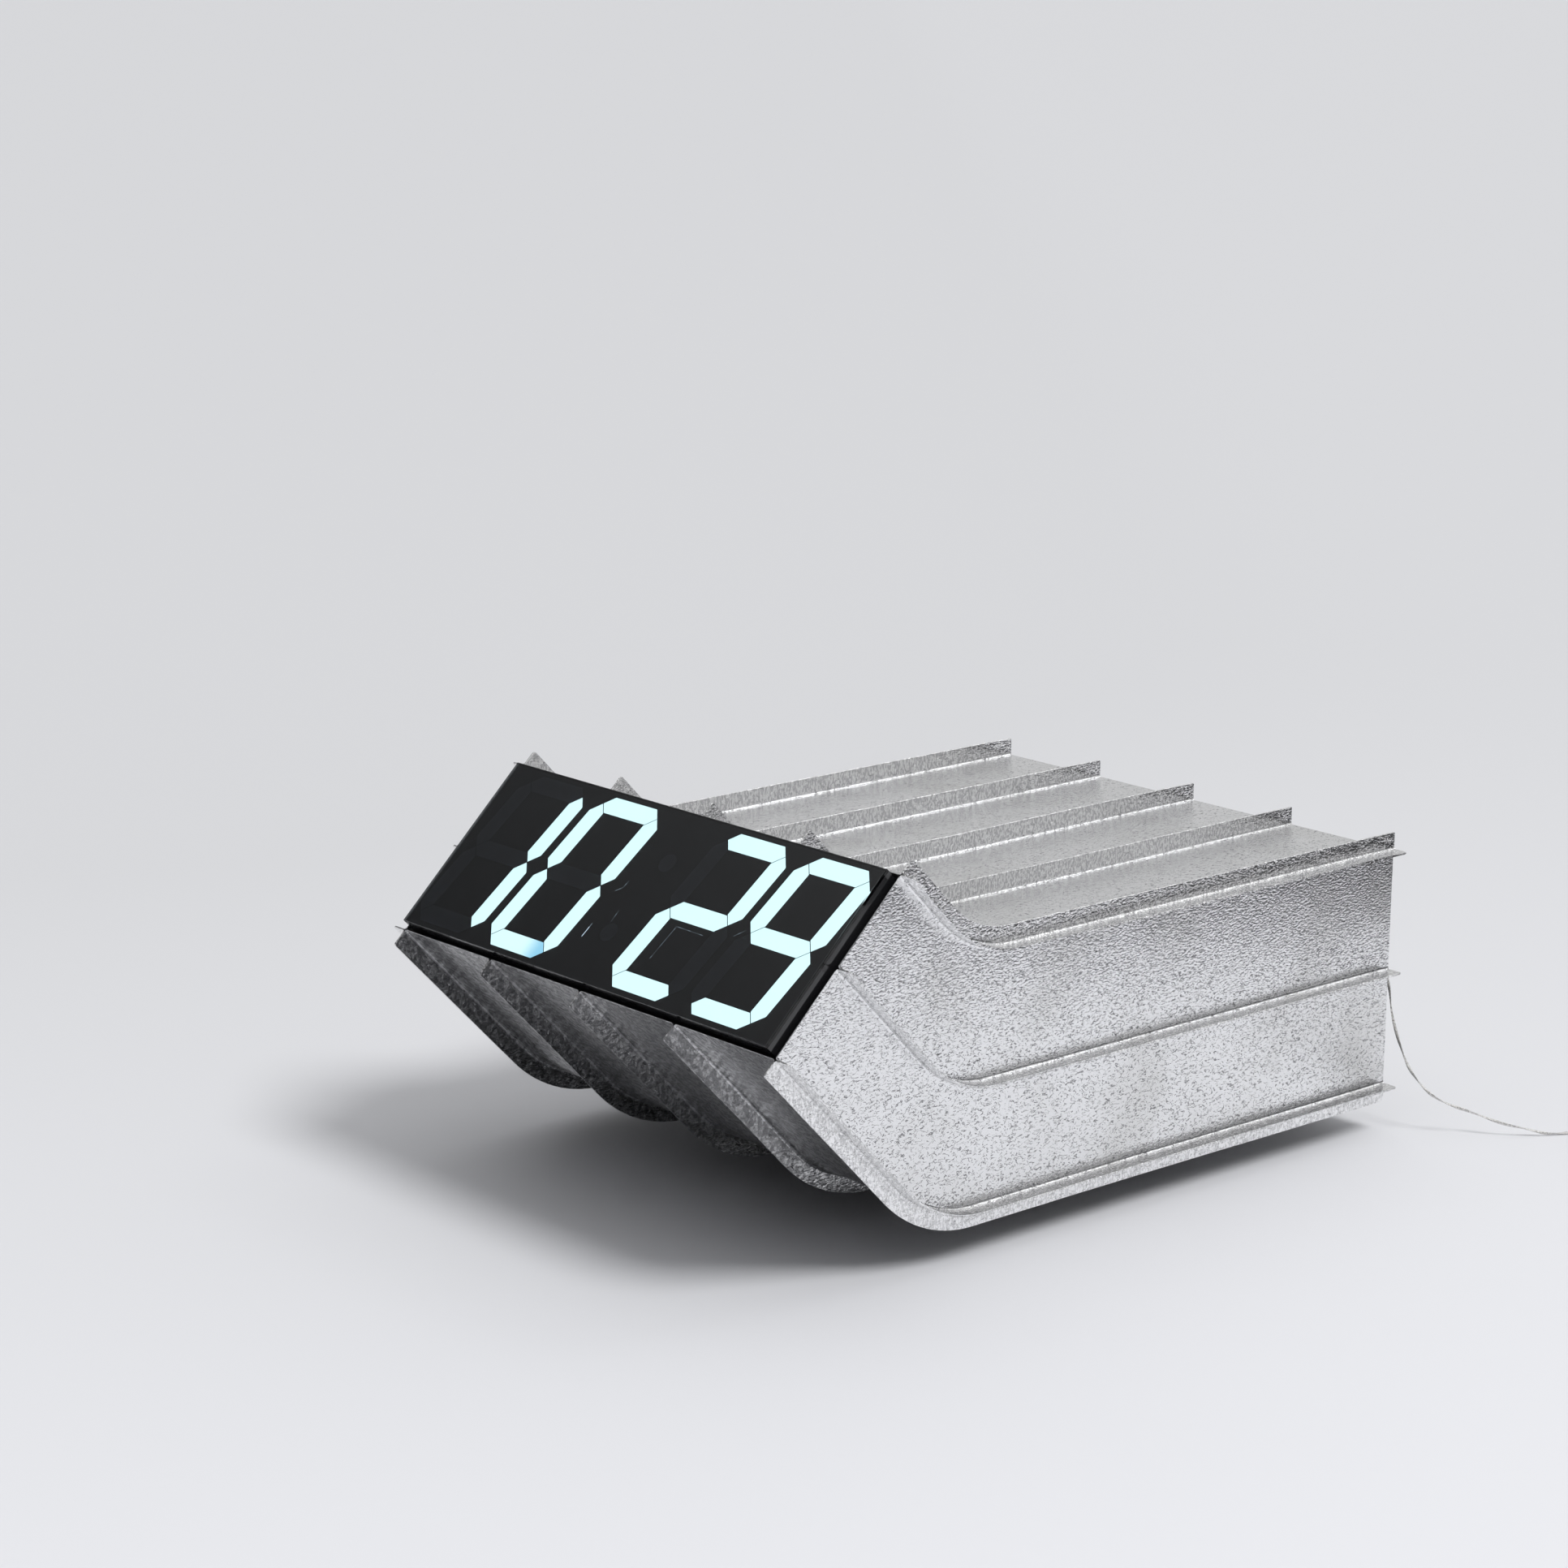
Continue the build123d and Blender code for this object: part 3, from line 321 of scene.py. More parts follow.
LIT = (0.74, 1.0, 1.0)
LIT_BLUER = (0.6, 0.93, 1.0)
LIT_UNEVEN = 0.06  # how much of the bluer white comes in, in patches
LIT_PATCHES = 26.0  # per metre
FADED = (0.29, 0.62, 0.8)
GLOW = 2.65  # allows for the smoked glass in front
LENS_FRONT = 10.0 * MM  # how far the strokes stand out of the mouth's plane
FADE_START, FADE_END = -106.0 * MM, -76.0 * MM  # across the display
# The cut between the bottom bar and the upright beside it: MITRE_SLOPE * x + y is MITRE along it.
MITRE_SLOPE = 1.15
MITRE = -169.4 * MM
MITRE_GAP = 0.4 * MM


def lit_lens(name, fading=False):
    """A glowing stroke. The fading one turns blue towards the right end of its bottom bar."""
    material, tree, shader = blank(name, base_color=(0.02, 0.025, 0.03), roughness=0.4)
    shader.inputs["Emission Strength"].default_value = GLOW
    where = object_place(tree)
    uneven = ramp(tree, cloud(tree, where, LIT_PATCHES, detail=1.0), *MOST, 0.0, LIT_UNEVEN)
    colour = mix(tree, uneven, LIT, LIT_BLUER)
    if fading:
        split = tree.nodes.new("ShaderNodeSeparateXYZ")
        feed(tree, split.inputs[0], where)
        right = ramp(tree, split.outputs["X"], FADE_START, FADE_END)
        lens_front = mouth_middle + FORWARD * LENS_FRONT
        up = math_node(tree, "SUBTRACT", split.outputs["Z"], lens_front.z)
        up = math_node(tree, "DIVIDE", up, ACROSS.z)
        beside = math_node(tree, "ADD", math_node(tree, "MULTIPLY", split.outputs["X"], MITRE_SLOPE), up)
        bar = ramp(tree, beside, MITRE - MITRE_GAP, MITRE + MITRE_GAP, 1.0, 0.0)
        colour = mix(tree, math_node(tree, "MULTIPLY", right, bar), colour, FADED)
    feed(tree, shader.inputs["Emission Color"], colour)
    return material


GLASS_TINT = (0.42, 0.44, 0.46)
GLASS_IOR = 1.47
MARK_SCALE = 9.0  # wiping marks, per metre
MARK_RANGE = (0.5, 0.75)
MARK_ROUGHNESS = 0.05


def smoked_glass():
    """Tinted pane with a few wiping marks in its gloss."""
    material, tree, shader = blank("smoked_glass", base_color=GLASS_TINT, transmission_weight=1.0)
    shader.inputs["IOR"].default_value = GLASS_IOR
    marks = cloud(tree, object_place(tree), MARK_SCALE, detail=4.0, distortion=1.2)
    feed(tree, shader.inputs["Roughness"], ramp(tree, marks, *MARK_RANGE, 0.0, MARK_ROUGHNESS))
    return material


STRAND_SCALE = 900.0  # per metre
STRAND_EDGES = (0.4, 0.6)
CORD_COLOURS = [(0.5, 0.49, 0.47), (0.78, 0.77, 0.75)]  # between the strands and on one
CORD_GLOSS = (0.25, 0.4)
STRAND_RELIEF = 0.06 * MM


def clear_cord():
    """Clear jacket over bright tinned strands."""
    material, tree, shader = blank("clear_cord", metallic=0.55, coat_weight=1.0, coat_roughness=0.08)
    strands = ramp(tree, cloud(tree, object_place(tree), STRAND_SCALE, detail=1.0), *STRAND_EDGES)
    feed(tree, shader.inputs["Base Color"], mix(tree, strands, *CORD_COLOURS))
    feed(tree, shader.inputs["Roughness"], ramp(tree, strands, 0.0, 1.0, *CORD_GLOSS))
    bumped(tree, shader, strands, STRAND_RELIEF)
    return material


# A grained finish is given its two colours, its roughness, its grain and relief, and its patches
# where they aren't of the usual size.
MATERIALS = {
    "stucco_aluminium": stucco("stucco_aluminium"),
    "zinc_steel": zinc(),
    "circuit_board": circuit(),
    "lit_lens": lit_lens("lit_lens"),
    "smoked_glass": smoked_glass(),
    "clear_cord": clear_cord(),
    "black_steel": grained(
        "black_steel", (0.012, 0.012, 0.013), (0.02, 0.02, 0.021), (0.3, 0.42), 900.0, 0.12 * MM),
    "black_screws": grained(
        "black_screws", (0.02, 0.02, 0.02), (0.05, 0.048, 0.045), (0.35, 0.5), 800.0, 0.05 * MM, 90.0,
        metallic=0.7),
    "black_rubber": grained(
        "black_rubber", (0.012, 0.012, 0.012), (0.022, 0.021, 0.02), (0.75, 0.9), 1100.0, 0.12 * MM, 40.0),
    "black_plastic": grained(
        "black_plastic", (0.011, 0.0115, 0.013), (0.014, 0.0145, 0.016), (0.4, 0.5), 1300.0, 0.05 * MM),
    "unlit_lens": grained(
        "unlit_lens", (0.04, 0.045, 0.056), (0.048, 0.054, 0.066), (0.45, 0.55), 700.0, 0.005 * MM),
    "white_plastic": grained(
        "white_plastic", (0.72, 0.72, 0.7), (0.8, 0.8, 0.78), (0.4, 0.52), 900.0, 0.06 * MM, 30.0),
    "steel_cell": grained(
        "steel_cell", (0.6, 0.6, 0.58), (0.72, 0.71, 0.69), (0.16, 0.3), 500.0, 0.03 * MM, 80.0,
        metallic=1.0),
    "lead_jacket": grained(
        "lead_jacket", (0.02, 0.02, 0.021), (0.035, 0.035, 0.036), (0.5, 0.62), 700.0, 0.06 * MM, 60.0),
}
display_black = grained(
    "display_black", (0.004, 0.004, 0.005), (0.005, 0.005, 0.006), (0.5, 0.6), 900.0, 0.005 * MM)
gloss_black = grained(
    "gloss_black", (0.006, 0.006, 0.007), (0.009, 0.009, 0.01), (0.1, 0.18), 160.0, 0.03 * MM,
    coat_weight=0.5)
milky_sleeve = grained(
    "milky_sleeve", (0.6, 0.6, 0.585), (0.68, 0.68, 0.66), (0.3, 0.42), 700.0, 0.03 * MM, 60.0,
    coat_weight=0.6)
lit_fading = lit_lens("lit_lens_fading", fading=True)
# A darker copy for the bottom panels: painted shade, as they face the shaded floor under the clock.
stucco_underside_painted_shade = stucco("stucco_underside_painted_shade", tone=0.78, mottle=0.6)


def finish(name, material):
    for slot in nodes[name].material_slots:
        slot.material = material


for subpart in frame["record"]["subparts"]:
    finish(subpart["node"], MATERIALS[subpart["material_slot"]])
finish("display_housing", gloss_black)
finish("segment_mask", display_black)
finish("hour_units_lit_segments", lit_fading)
finish("cord_sleeve", milky_sleeve)

# ---------------------------------------------------------------- mesh helpers
# Stations along a sheet, as (part, share): close together at both ends and round the bend.
END_STEPS = [0.0, 0.3, 0.8, 1.6, 2.6, 4.0, 6.0, 9.0]  # millimetres from an end
STATION_STEP = 9 * MM
ARC_STATIONS = 26


def stations(seam):
    flat_count = round(seam.flat / STATION_STEP)
    rise_count = round(seam.rise / STATION_STEP)
    ends = [value * MM for value in END_STEPS]
    result = [(0, value / seam.flat) for value in ends]
    first = ends[-1] / seam.flat
    result += [(0, first + (1 - first) * i / flat_count) for i in range(1, flat_count)]
    result += [(1, i / ARC_STATIONS) for i in range(ARC_STATIONS)]
    last = 1 - ends[-1] / seam.rise
    result += [(2, last * i / rise_count) for i in range(rise_count)]
    result += [(2, 1 - value / seam.rise) for value in reversed(ends)]
    return result


def new_mesh(name, points, faces, material, sharp_angle=32):
    """A smooth-shaded mesh, with sharp edges where faces meet at more than sharp_angle degrees."""
    mesh = bpy.data.meshes.new(name)
    mesh.from_pydata([tuple(point) for point in points], [], faces)
    mesh.validate()
    mesh.materials.append(material)
    shell = bmesh.new()
    shell.from_mesh(mesh)
    bmesh.ops.recalc_face_normals(shell, faces=shell.faces)
    shell.to_mesh(mesh)
    shell.free()
    mesh.polygons.foreach_set("use_smooth", [True] * len(mesh.polygons))
    mesh.set_sharp_from_angle(angle=math.radians(sharp_angle))
    mesh.update()
    obj = bpy.data.objects.new(name, mesh)
    bpy.context.scene.collection.objects.link(obj)
    return obj


def rotated(vector, angle):
    cos, sin = math.cos(angle), math.sin(angle)
    return Vector((vector.x * cos - vector.y * sin, vector.x * sin + vector.y * cos))


END_CELL = 0.012  # the width of a run's first and last cell, as a share of the run
FEW_CELLS = 3
FOLD_CELLS = 6  # round a fold


def spread(count):
    """Shares from 0 to 1, with a narrow first and last cell unless there are only a few."""
    if count <= FEW_CELLS:
        return [i / count for i in range(count + 1)]
    inner = [END_CELL + (1 - 2 * END_CELL) * i / (count - 2) for i in range(count - 1)]
    return [0.0] + inner + [1.0]


def line_points(corners, counts):
    """A folded middle line: points and normals, with arcs at its inner corners.

    counts gives the number of cells on each straight run.
    """
    corners = [Vector(corner) for corner in corners]
    runs = [(b - a).normalized() for a, b in zip(corners, corners[1:])]
    points, normals = [], []
    start = corners[0]
    radius = BEND + SHEET / 2
    for index, run in enumerate(runs):
        normal = Vector((-run.y, run.x))
        last = index == len(runs) - 1
        end = corners[index + 1]
        if not last:
            end = end - run * radius
        for share in spread(counts[index]):
            points.append(start.lerp(end, share))
            normals.append(normal)
        if last:
            break
        following = runs[index + 1]
        turn = run.x * following.y - run.y * following.x
        side = 1 if turn > 0 else -1
        centre = end + normal * (radius * side)
        for step in range(1, FOLD_CELLS):
            angle = side * math.radians(90) * step / FOLD_CELLS
            points.append(centre + rotated(end - centre, angle))
            normals.append(rotated(normal, angle))
        start = corners[index + 1] + following * radius
    return points, normals


EDGE_CHAMFER = 0.22 * MM  # along a sheet's cut edges


def sheet_solid(name, rows, normals, flanged, material):
    """A closed sheet from rows of middle points (one row a station) and their normals.

    flanged tells for each point of a row whether it is on a flange.
    """
    thick = SHEET / 2
    count = len(rows[0])
    points, faces = [], []
    for number, (row, normal) in enumerate(zip(rows, normals)):
        thin = thick - EDGE_CHAMFER if number in (0, len(rows) - 1) else thick
        lip = thin - EDGE_CHAMFER
        left = [p + n * thin for p, n in zip(row, normal)]
        right = [p - n * thin for p, n in zip(row, normal)]
        first = (row[0] - row[1]).normalized() * EDGE_CHAMFER
        last = (row[-1] - row[-2]).normalized() * EDGE_CHAMFER
        lip_first = [row[0] - normal[0] * lip, row[0] + normal[0] * lip]
        lip_last = [row[-1] + normal[-1] * lip, row[-1] - normal[-1] * lip]
        left[0], right[0] = left[0] - first, right[0] - first
        left[-1], right[-1] = left[-1] - last, right[-1] - last
        points += left + lip_last + right[::-1] + lip_first
    ring = 2 * count + 4
    for number in range(len(rows) - 1):
        for i in range(ring):
            a = number * ring + i
            b = number * ring + (i + 1) % ring
            faces.append((a, a + ring, b + ring, b))
    for base, flip in ((0, False), ((len(rows) - 1) * ring, True)):
        pairs = [(base + i, base + 2 * count + 1 - i) for i in range(count)]
        pairs = [(base + ring - 1, base + ring - 2)] + pairs + [(base + count, base + count + 1)]
        for (a, b), (c, d) in zip(pairs, pairs[1:]):
            face = (a, c, d, b)
            faces.append(face[::-1] if flip else face)
    sheet = new_mesh(name, points, faces, material)
    ring_values = flanged + [flanged[-1]] * 2 + flanged[::-1] + [flanged[0]] * 2
    attribute = sheet.data.attributes.new(FLANGE, "FLOAT", "POINT")
    attribute.data.foreach_set("value", [float(value) for value in ring_values * len(rows)])
    return sheet


# ---------------------------------------------------------------- duct sheets
# Cells across a flange, a top or bottom panel's web, a side panel's web and its short straight legs.
FLANGE_CELLS, WEB_CELLS, WALL_CELLS, LEG_CELLS = 5, 16, 15, 3
LEG = 1.3  # how far the legs reach from the seam, in units of the bend and the sheet together
# Handling: slow waves and small dents, each with its height and how many to the metre along X, Y, Z.
SLOW_HEIGHT, SLOW_SCALE = 0.7 * MM, (4.2, 3.1, 4.2)
QUICK_HEIGHT, QUICK_SCALE = 0.2 * MM, (21, 16, 21)
AXIS_OFFSET = Vector((3.7, 9.1, 5.3))  # makes each axis's noise a different one
STIFF_LENGTH, STIFF_SHARE = 60 * MM, 0.25  # the rear frame keeps the sheets straighter near the back
EDGE_ROOM = 0.05 * MM


def warp(point):
    """How far handling has pushed the sheets out of true at a point, slowly and in small dents.

    Neighbouring sheets share it, so their flanges stay together. It never pushes a flange's edge
    further out than the flange is wide.
    """
    slow = Vector([part * scale for part, scale in zip(point, SLOW_SCALE)])
    quick = Vector([part * scale for part, scale in zip(point, QUICK_SCALE)])
    shift = Vector([
        SLOW_HEIGHT * noise.noise(slow + AXIS_OFFSET * axis)
        + QUICK_HEIGHT * noise.noise(quick + AXIS_OFFSET * axis)
        for axis in (1, 2, 3)
    ]) * min(1.0, (back - point.y) / STIFF_LENGTH + STIFF_SHARE)
    outward = math.copysign(1, point.x)
    room = half + FIN - EDGE_ROOM - abs(point.x)
    shift.x = outward * min(outward * shift.x, room)
    return shift


# How far each kind of flange is rounded off at its back and its mouth corner.
ROUNDING = {"standing": (1.5 * MM, 3.0 * MM), "hanging": (7.0 * MM, 3.0 * MM), "side": (4.0 * MM, 3.0 * MM)}


def reach(outward, distance, seam, kind):
    """A flange point's distance from the seam, shortened where the flange's corner is round."""
    if outward <= BEND:
        return outward
    limit = FIN
    for radius, gap in zip(ROUNDING[kind], (distance, seam.length - distance)):
        if gap < radius:
            limit = min(limit, FIN - radius + math.sqrt(radius ** 2 - (radius - gap) ** 2))
    return BEND + (outward - BEND) * (limit - BEND) / (FIN - BEND)


def swept_rows(seam, profile, profile_normals):
    """Rows of points and normals for a profile swept along a seam."""
    rows, all_normals = [], []
    for part, share in stations(seam):
        distance = seam.spot(part, share)
        point, up = seam.at(distance)
        row = []
        for p in profile:
            upright = "standing" if p.y > 0 else "hanging"
            height = math.copysign(reach(abs(p.y), distance, seam, upright), p.y)
            aside = abs(p.x) - half
            if aside > BEND:
                aside = reach(aside, distance, seam, "side")
            row.append(point + Vector((math.copysign(half + aside, p.x), 0, 0)) + up * height)
        normal = [Vector((n.x, 0, 0)) + up * n.y for n in profile_normals]
        rows.append([p + warp(p) for p in row])
        all_normals.append(normal)
    return rows, all_normals


def place_sheet(name, rows, normals, flanged):
    # The bottom panels take the copy darkened with painted shade.
    material = stucco_underside_painted_shade if name.startswith("bottom") else MATERIALS["stucco_aluminium"]
    piece = sheet_solid(f"{name}_sheet", rows, normals, flanged, material)
    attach(piece, CLOCK)
    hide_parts(name)


def channel(name, seam_name, index, side):
    skin = SHEET / 2
    low = -half + index * bay + skin
    high = low + bay - SHEET
    corners = [(low, side * FIN), (low, -side * skin), (high, -side * skin), (high, side * FIN)]
    profile, normals = line_points(corners, [FLANGE_CELLS, WEB_CELLS, FLANGE_CELLS])
    flanged = [abs(point.y) > BEND for point in profile]
    place_sheet(name, *swept_rows(SEAMS[seam_name], profile, normals), flanged)


for index in range(BAYS):
    channel(f"top_panel_{index + 1}", "top", index, 1)
    channel(f"bottom_panel_{index + 1}", "bottom", index, -1)


def side_sheet(name, upper, lower, side):
    skin = SHEET / 2
    edge, wall = half + FIN, half - skin
    leg = LEG * (BEND + SHEET)
    folds = {
        upper: line_points([(edge, -skin), (wall, -skin), (wall, -leg)], [FLANGE_CELLS, LEG_CELLS]),
        lower: line_points([(wall, leg), (wall, skin), (edge, skin)], [LEG_CELLS, FLANGE_CELLS]),
    }
    rows, all_normals = [], []
    for part, share in stations(SEAMS[upper]):
        row, normal = [], []
        for seam_name, (points, point_normals) in folds.items():
            seam = SEAMS[seam_name]
            distance = seam.spot(part, share)
            place, up = seam.at(distance)
            fold = [
                place + Vector((half + reach(p.x - half, distance, seam, "side"), 0, 0)) + up * p.y
                for p in points
            ]
            if row:
                row += [row[-1].lerp(fold[0], i / WALL_CELLS) for i in range(1, WALL_CELLS)]
                normal += [normal[-1]] * (WALL_CELLS - 1)
            row += fold
            normal += [Vector((n.x, 0, 0)) + up * n.y for n in point_normals]
        if side < 0:
            row = [Vector((-p.x, p.y, p.z)) for p in row][::-1]
            normal = [Vector((n.x, -n.y, -n.z)) for n in normal][::-1]
        rows.append([p + warp(p) for p in row])
        all_normals.append(normal)
    flanged = [abs(point.x) > half + BEND for point in rows[0]]
    place_sheet(name, rows, all_normals, flanged)


def corner_angle(name, seam_name, lift, side):
    skin = SHEET / 2
    wall = half + skin
    corners = [(wall, lift * FIN), (wall, lift * skin), (half + FIN, lift * skin)]
    if side < 0:
        corners = [(-x, y) for x, y in corners][::-1]
    profile, normals = line_points(corners, [FLANGE_CELLS, FLANGE_CELLS])
    place_sheet(name, *swept_rows(SEAMS[seam_name], profile, normals), [True] * len(profile))


for word, side in (("right", 1), ("left", -1)):
    side_sheet(f"side_panel_upper_{word}", "top", "mid", side)
    side_sheet(f"side_panel_lower_{word}", "mid", "bottom", side)
    corner_angle(f"corner_strip_top_{word}", "top", 1, side)
    corner_angle(f"corner_strip_bottom_{word}", "bottom", -1, side)

# ---------------------------------------------------------------- display pane
DISPLAY_WIDTH, DISPLAY_HEIGHT, DISPLAY_PROUD = 588 * MM, 215 * MM, 14 * MM
PANE_BACK = 10.3 * MM  # just clear of the mask
CHAMFER = 0.9 * MM
CHAMFER_BREAK = 0.3  # where the double chamfer changes its slope, as a share of it
PANE_SHARP = 12  # degrees


def on_display(x, y, out):
    """A point x to the right and y up from the display's middle, out of the mouth's plane."""
    return mouth_middle + Vector((x, 0, 0)) + ACROSS * y + FORWARD * out


def pane():
    """The front glass, with polished edges broken by a small double chamfer."""
    near = CHAMFER_BREAK * CHAMFER
    steps = [(0.0, PANE_BACK), (0.0, DISPLAY_PROUD - CHAMFER), (near, DISPLAY_PROUD - near),
             (CHAMFER, DISPLAY_PROUD)]
    points, faces = [], []
    for inset, out in steps:
        x, y = DISPLAY_WIDTH / 2 - inset, DISPLAY_HEIGHT / 2 - inset
        points += [on_display(*corner, out) for corner in ((-x, -y), (x, -y), (x, y), (-x, y))]
    for level in range(len(steps) - 1):
        for i in range(4):
            a, b = 4 * level + i, 4 * level + (i + 1) % 4
            faces.append((a, b, b + 4, a + 4))
    faces += [(3, 2, 1, 0), tuple(range(4 * len(steps) - 4, 4 * len(steps)))]
    return new_mesh("front_pane", points, faces, MATERIALS["smoked_glass"], PANE_SHARP)


glass = pane()
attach(glass, CLOCK)
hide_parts("front_glass")

# Light that gets past the mask as hairlines: points on the display, and how bright.
LEAKS = [
    ([(-33.2, -59.8), (-31.4, -42.6)], "bright_leak"),
    ([(-31.7, -0.8), (-24.0, 5.3), (-22.5, 14.1)], "faint_leak"),
    ([(75.5, -58.8), (81.4, -17.4), (122.2, -18.0)], "faint_leak"),
    ([(161.5, -8.7), (171.8, 1.1)], "faint_leak"),
    ([(-8.3, -34.5), (-8.1, -19.9)], "faint_leak"),
]
LEAK_WIDTH = 0.8 * MM
LEAK_LEVELS = (10.08 * MM, 10.2 * MM)  # between the mask and the pane
LEAK_COLOUR = (0.72, 0.88, 1.0)
LEAK_STRENGTHS = {"bright_leak": 3.2, "faint_leak": 0.75}
LEAK_PATCHES = 180.0  # per metre
LEAK_RANGE = (0.4, 0.65)
LEAK_WEAKEST = 0.25  # of the full strength


def leak_glow(name, strength):
    """Cold light that comes and goes along a hairline."""
    material, tree, shader = blank(name, base_color=(0.01, 0.01, 0.012), roughness=0.5)
    uneven = cloud(tree, object_place(tree), LEAK_PATCHES, detail=1.0)
    uneven = ramp(tree, uneven, *LEAK_RANGE, LEAK_WEAKEST, 1.0)
    feed(tree, shader.inputs["Emission Color"], LEAK_COLOUR)
    feed(tree, shader.inputs["Emission Strength"], math_node(tree, "MULTIPLY", uneven, strength))
    return material


def leak(name, route, material):
    """A flat hairline, narrower at both ends."""
    points, faces = [], []
    route = [Vector(corner) * MM for corner in route]
    for out in LEAK_LEVELS:
        for index, corner in enumerate(route):
            ahead = (route[min(index + 1, len(route) - 1)] - route[max(index - 1, 0)]).normalized()
            wide = LEAK_WIDTH / 2 if 0 < index < len(route) - 1 else LEAK_WIDTH / 3
            for side in (-wide, wide):
                points.append(on_display(corner.x - ahead.y * side, corner.y + ahead.x * side, out))
    top = 2 * len(route)
    for i in range(0, top - 2, 2):
        faces += [(i, i + 1, i + 3, i + 2), (top + i + 1, top + i, top + i + 2, top + i + 3)]
        faces += [(i, i + 2, top + i + 2, top + i), (i + 3, i + 1, top + i + 1, top + i + 3)]
    faces += [(1, 0, top, top + 1), (top - 2, top - 1, 2 * top - 1, 2 * top - 2)]
    return new_mesh(name, points, faces, material)


leak_glows = {name: leak_glow(name, strength) for name, strength in LEAK_STRENGTHS.items()}
for number, (route, glow) in enumerate(LEAKS, 1):
    hairline = leak(f"light_leak_{number}", route, leak_glows[glow])
    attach(hairline, CLOCK)

# ---------------------------------------------------------------- cord
CORD = 3.4 * MM
CORE = 0.87 * MM  # outer radius of each of its two halves
CORD_ROUTE = [
    (266, 465, 180), (266, 479, 180), (269, 490, 171), (274, 493, 153), (282, 488, 127),
    (293, 486, 103), (302, 485, 87), (313, 484, 70), (327, 485, 56.3), (344, 490, 42.3),
    (358, 503, 33), (375, 523, 24.3), (403.5, 541, 14), (424, 565, 7.6), (434, 578.4, 2.4),
    (440, 590.5, 1.8), (447.4, 602.5, 1.7), (452.6, 612.9, 2), (458.5, 622.4, 2.5),
]
TAIL_ROUTE = [(484, 643.5, 12.7), (495, 645, 10.8), (504.5, 641.5, 7), (510.1, 635, 5), (513.1, 631, 5)]
coil_low, coil_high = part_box("power_cord_coil")
coil_centre = (coil_low + coil_high) / 2
RINGS, LAYERS, TURN_POINTS = 3, 4, 14
COIL_RADIUS = 19.0 * MM
START_ANGLE = math.radians(150)
TURNS = 11.75


def coil_points():
    """The coil's turns: each layer is wound in or out, then the next lies on it."""
    points = []
    for number in range(1, round(TURNS * TURN_POINTS)):
        turn = number / TURN_POINTS
        layer = int(turn // RINGS)
        across = max(-1.0, min(1.0, turn % RINGS - RINGS / 2))
        if layer % 2 == 0:
            across = -across
        radius = COIL_RADIUS + across * CORD
        height = coil_low.z + CORD * (0.5 + min(turn / RINGS, LAYERS - 1))
        angle = START_ANGLE - 2 * math.pi * turn
        place = (coil_centre.x + radius * math.cos(angle), coil_centre.y + radius * math.sin(angle), height)
        points.append(Vector(place))
    return points


def spline_points(route):
    """Points read from the smooth NURBS line that has the route as its control points."""
    curve = bpy.data.curves.new("cord_line", "CURVE")
    curve.dimensions = "3D"
    spline = curve.splines.new("NURBS")
    spline.points.add(len(route) - 1)
    for point, place in zip(spline.points, route):
        point.co = (*place, 1)
    spline.order_u = 3
    spline.use_endpoint_u = True
    curve.resolution_u = 5
    line = bpy.data.objects.new("cord_line", curve)
    bpy.context.scene.collection.objects.link(line)
    bpy.context.view_layer.update()
    mesh = bpy.data.meshes.new_from_object(line)
    points = [vertex.co.copy() for vertex in mesh.vertices]
    bpy.data.objects.remove(line)
    return points


AROUND = 18  # points round the cord
TURN_LENGTH = 0.085  # of the cord for one full twist
WAIST = 0.55  # the cord's thickness between its cores, as a share of a core's
LOBE_REACH = 1.25  # how soon the thickness falls off towards the cord's edges
TWIST_UNEVEN = 1.6  # radians by which it strays
TWIST_SCALE = 14  # per metre
TWIST_PLACE = 3.7  # which part of the noise is used
CORD_SHARP = 60  # degrees


def ribbon(name, path, material):
    """A flat two-core cord along the path, lazily twisted as it lies."""
    section = []
    for step in range(AROUND):
        angle = 2 * math.pi * step / AROUND
        lobe = abs(math.cos(angle))
        bulge = math.sin(math.pi * min(1.0, lobe * LOBE_REACH)) ** 0.5
        thickness = CORE * (WAIST + (1 - WAIST) * bulge)
        section.append(Vector((CORD / 2 * math.cos(angle), thickness * math.sin(angle))))
    points, faces = [], []
    side = Vector((0, 0, 1))
    travelled = 0.0
    for index, place in enumerate(path):
        ahead = (path[min(index + 1, len(path) - 1)] - path[max(index - 1, 0)]).normalized()
        side = (side - ahead * side.dot(ahead)).normalized()
        if index:
            travelled += (place - path[index - 1]).length
        uneven = TWIST_UNEVEN * noise.noise(Vector((travelled * TWIST_SCALE, TWIST_PLACE, 0.0)))
        spin = 2 * math.pi * travelled / TURN_LENGTH + uneven
        wide = Quaternion(ahead, spin) @ side
        thin = ahead.cross(wide)
        points += [place + wide * p.x + thin * p.y for p in section]
    for ring in range(len(path) - 1):
        for i in range(AROUND):
            a, b = ring * AROUND + i, ring * AROUND + (i + 1) % AROUND
            faces.append((a, b, b + AROUND, a + AROUND))
    faces += [tuple(range(AROUND))[::-1], tuple(range(len(points) - AROUND, len(points)))]
    return new_mesh(name, points, faces, material, CORD_SHARP)


cord_route = [Vector(p) * MM for p in CORD_ROUTE] + coil_points() + [Vector(p) * MM for p in TAIL_ROUTE]
cord_path = spline_points(cord_route)
cord = ribbon("power_cord_ribbon", cord_path, MATERIALS["clear_cord"])
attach(cord, CLOCK)
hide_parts("power_cord", "power_cord_coil", "power_cord_tail")

# ---------------------------------------------------------------- floor, light, camera
SPAN = 300.0
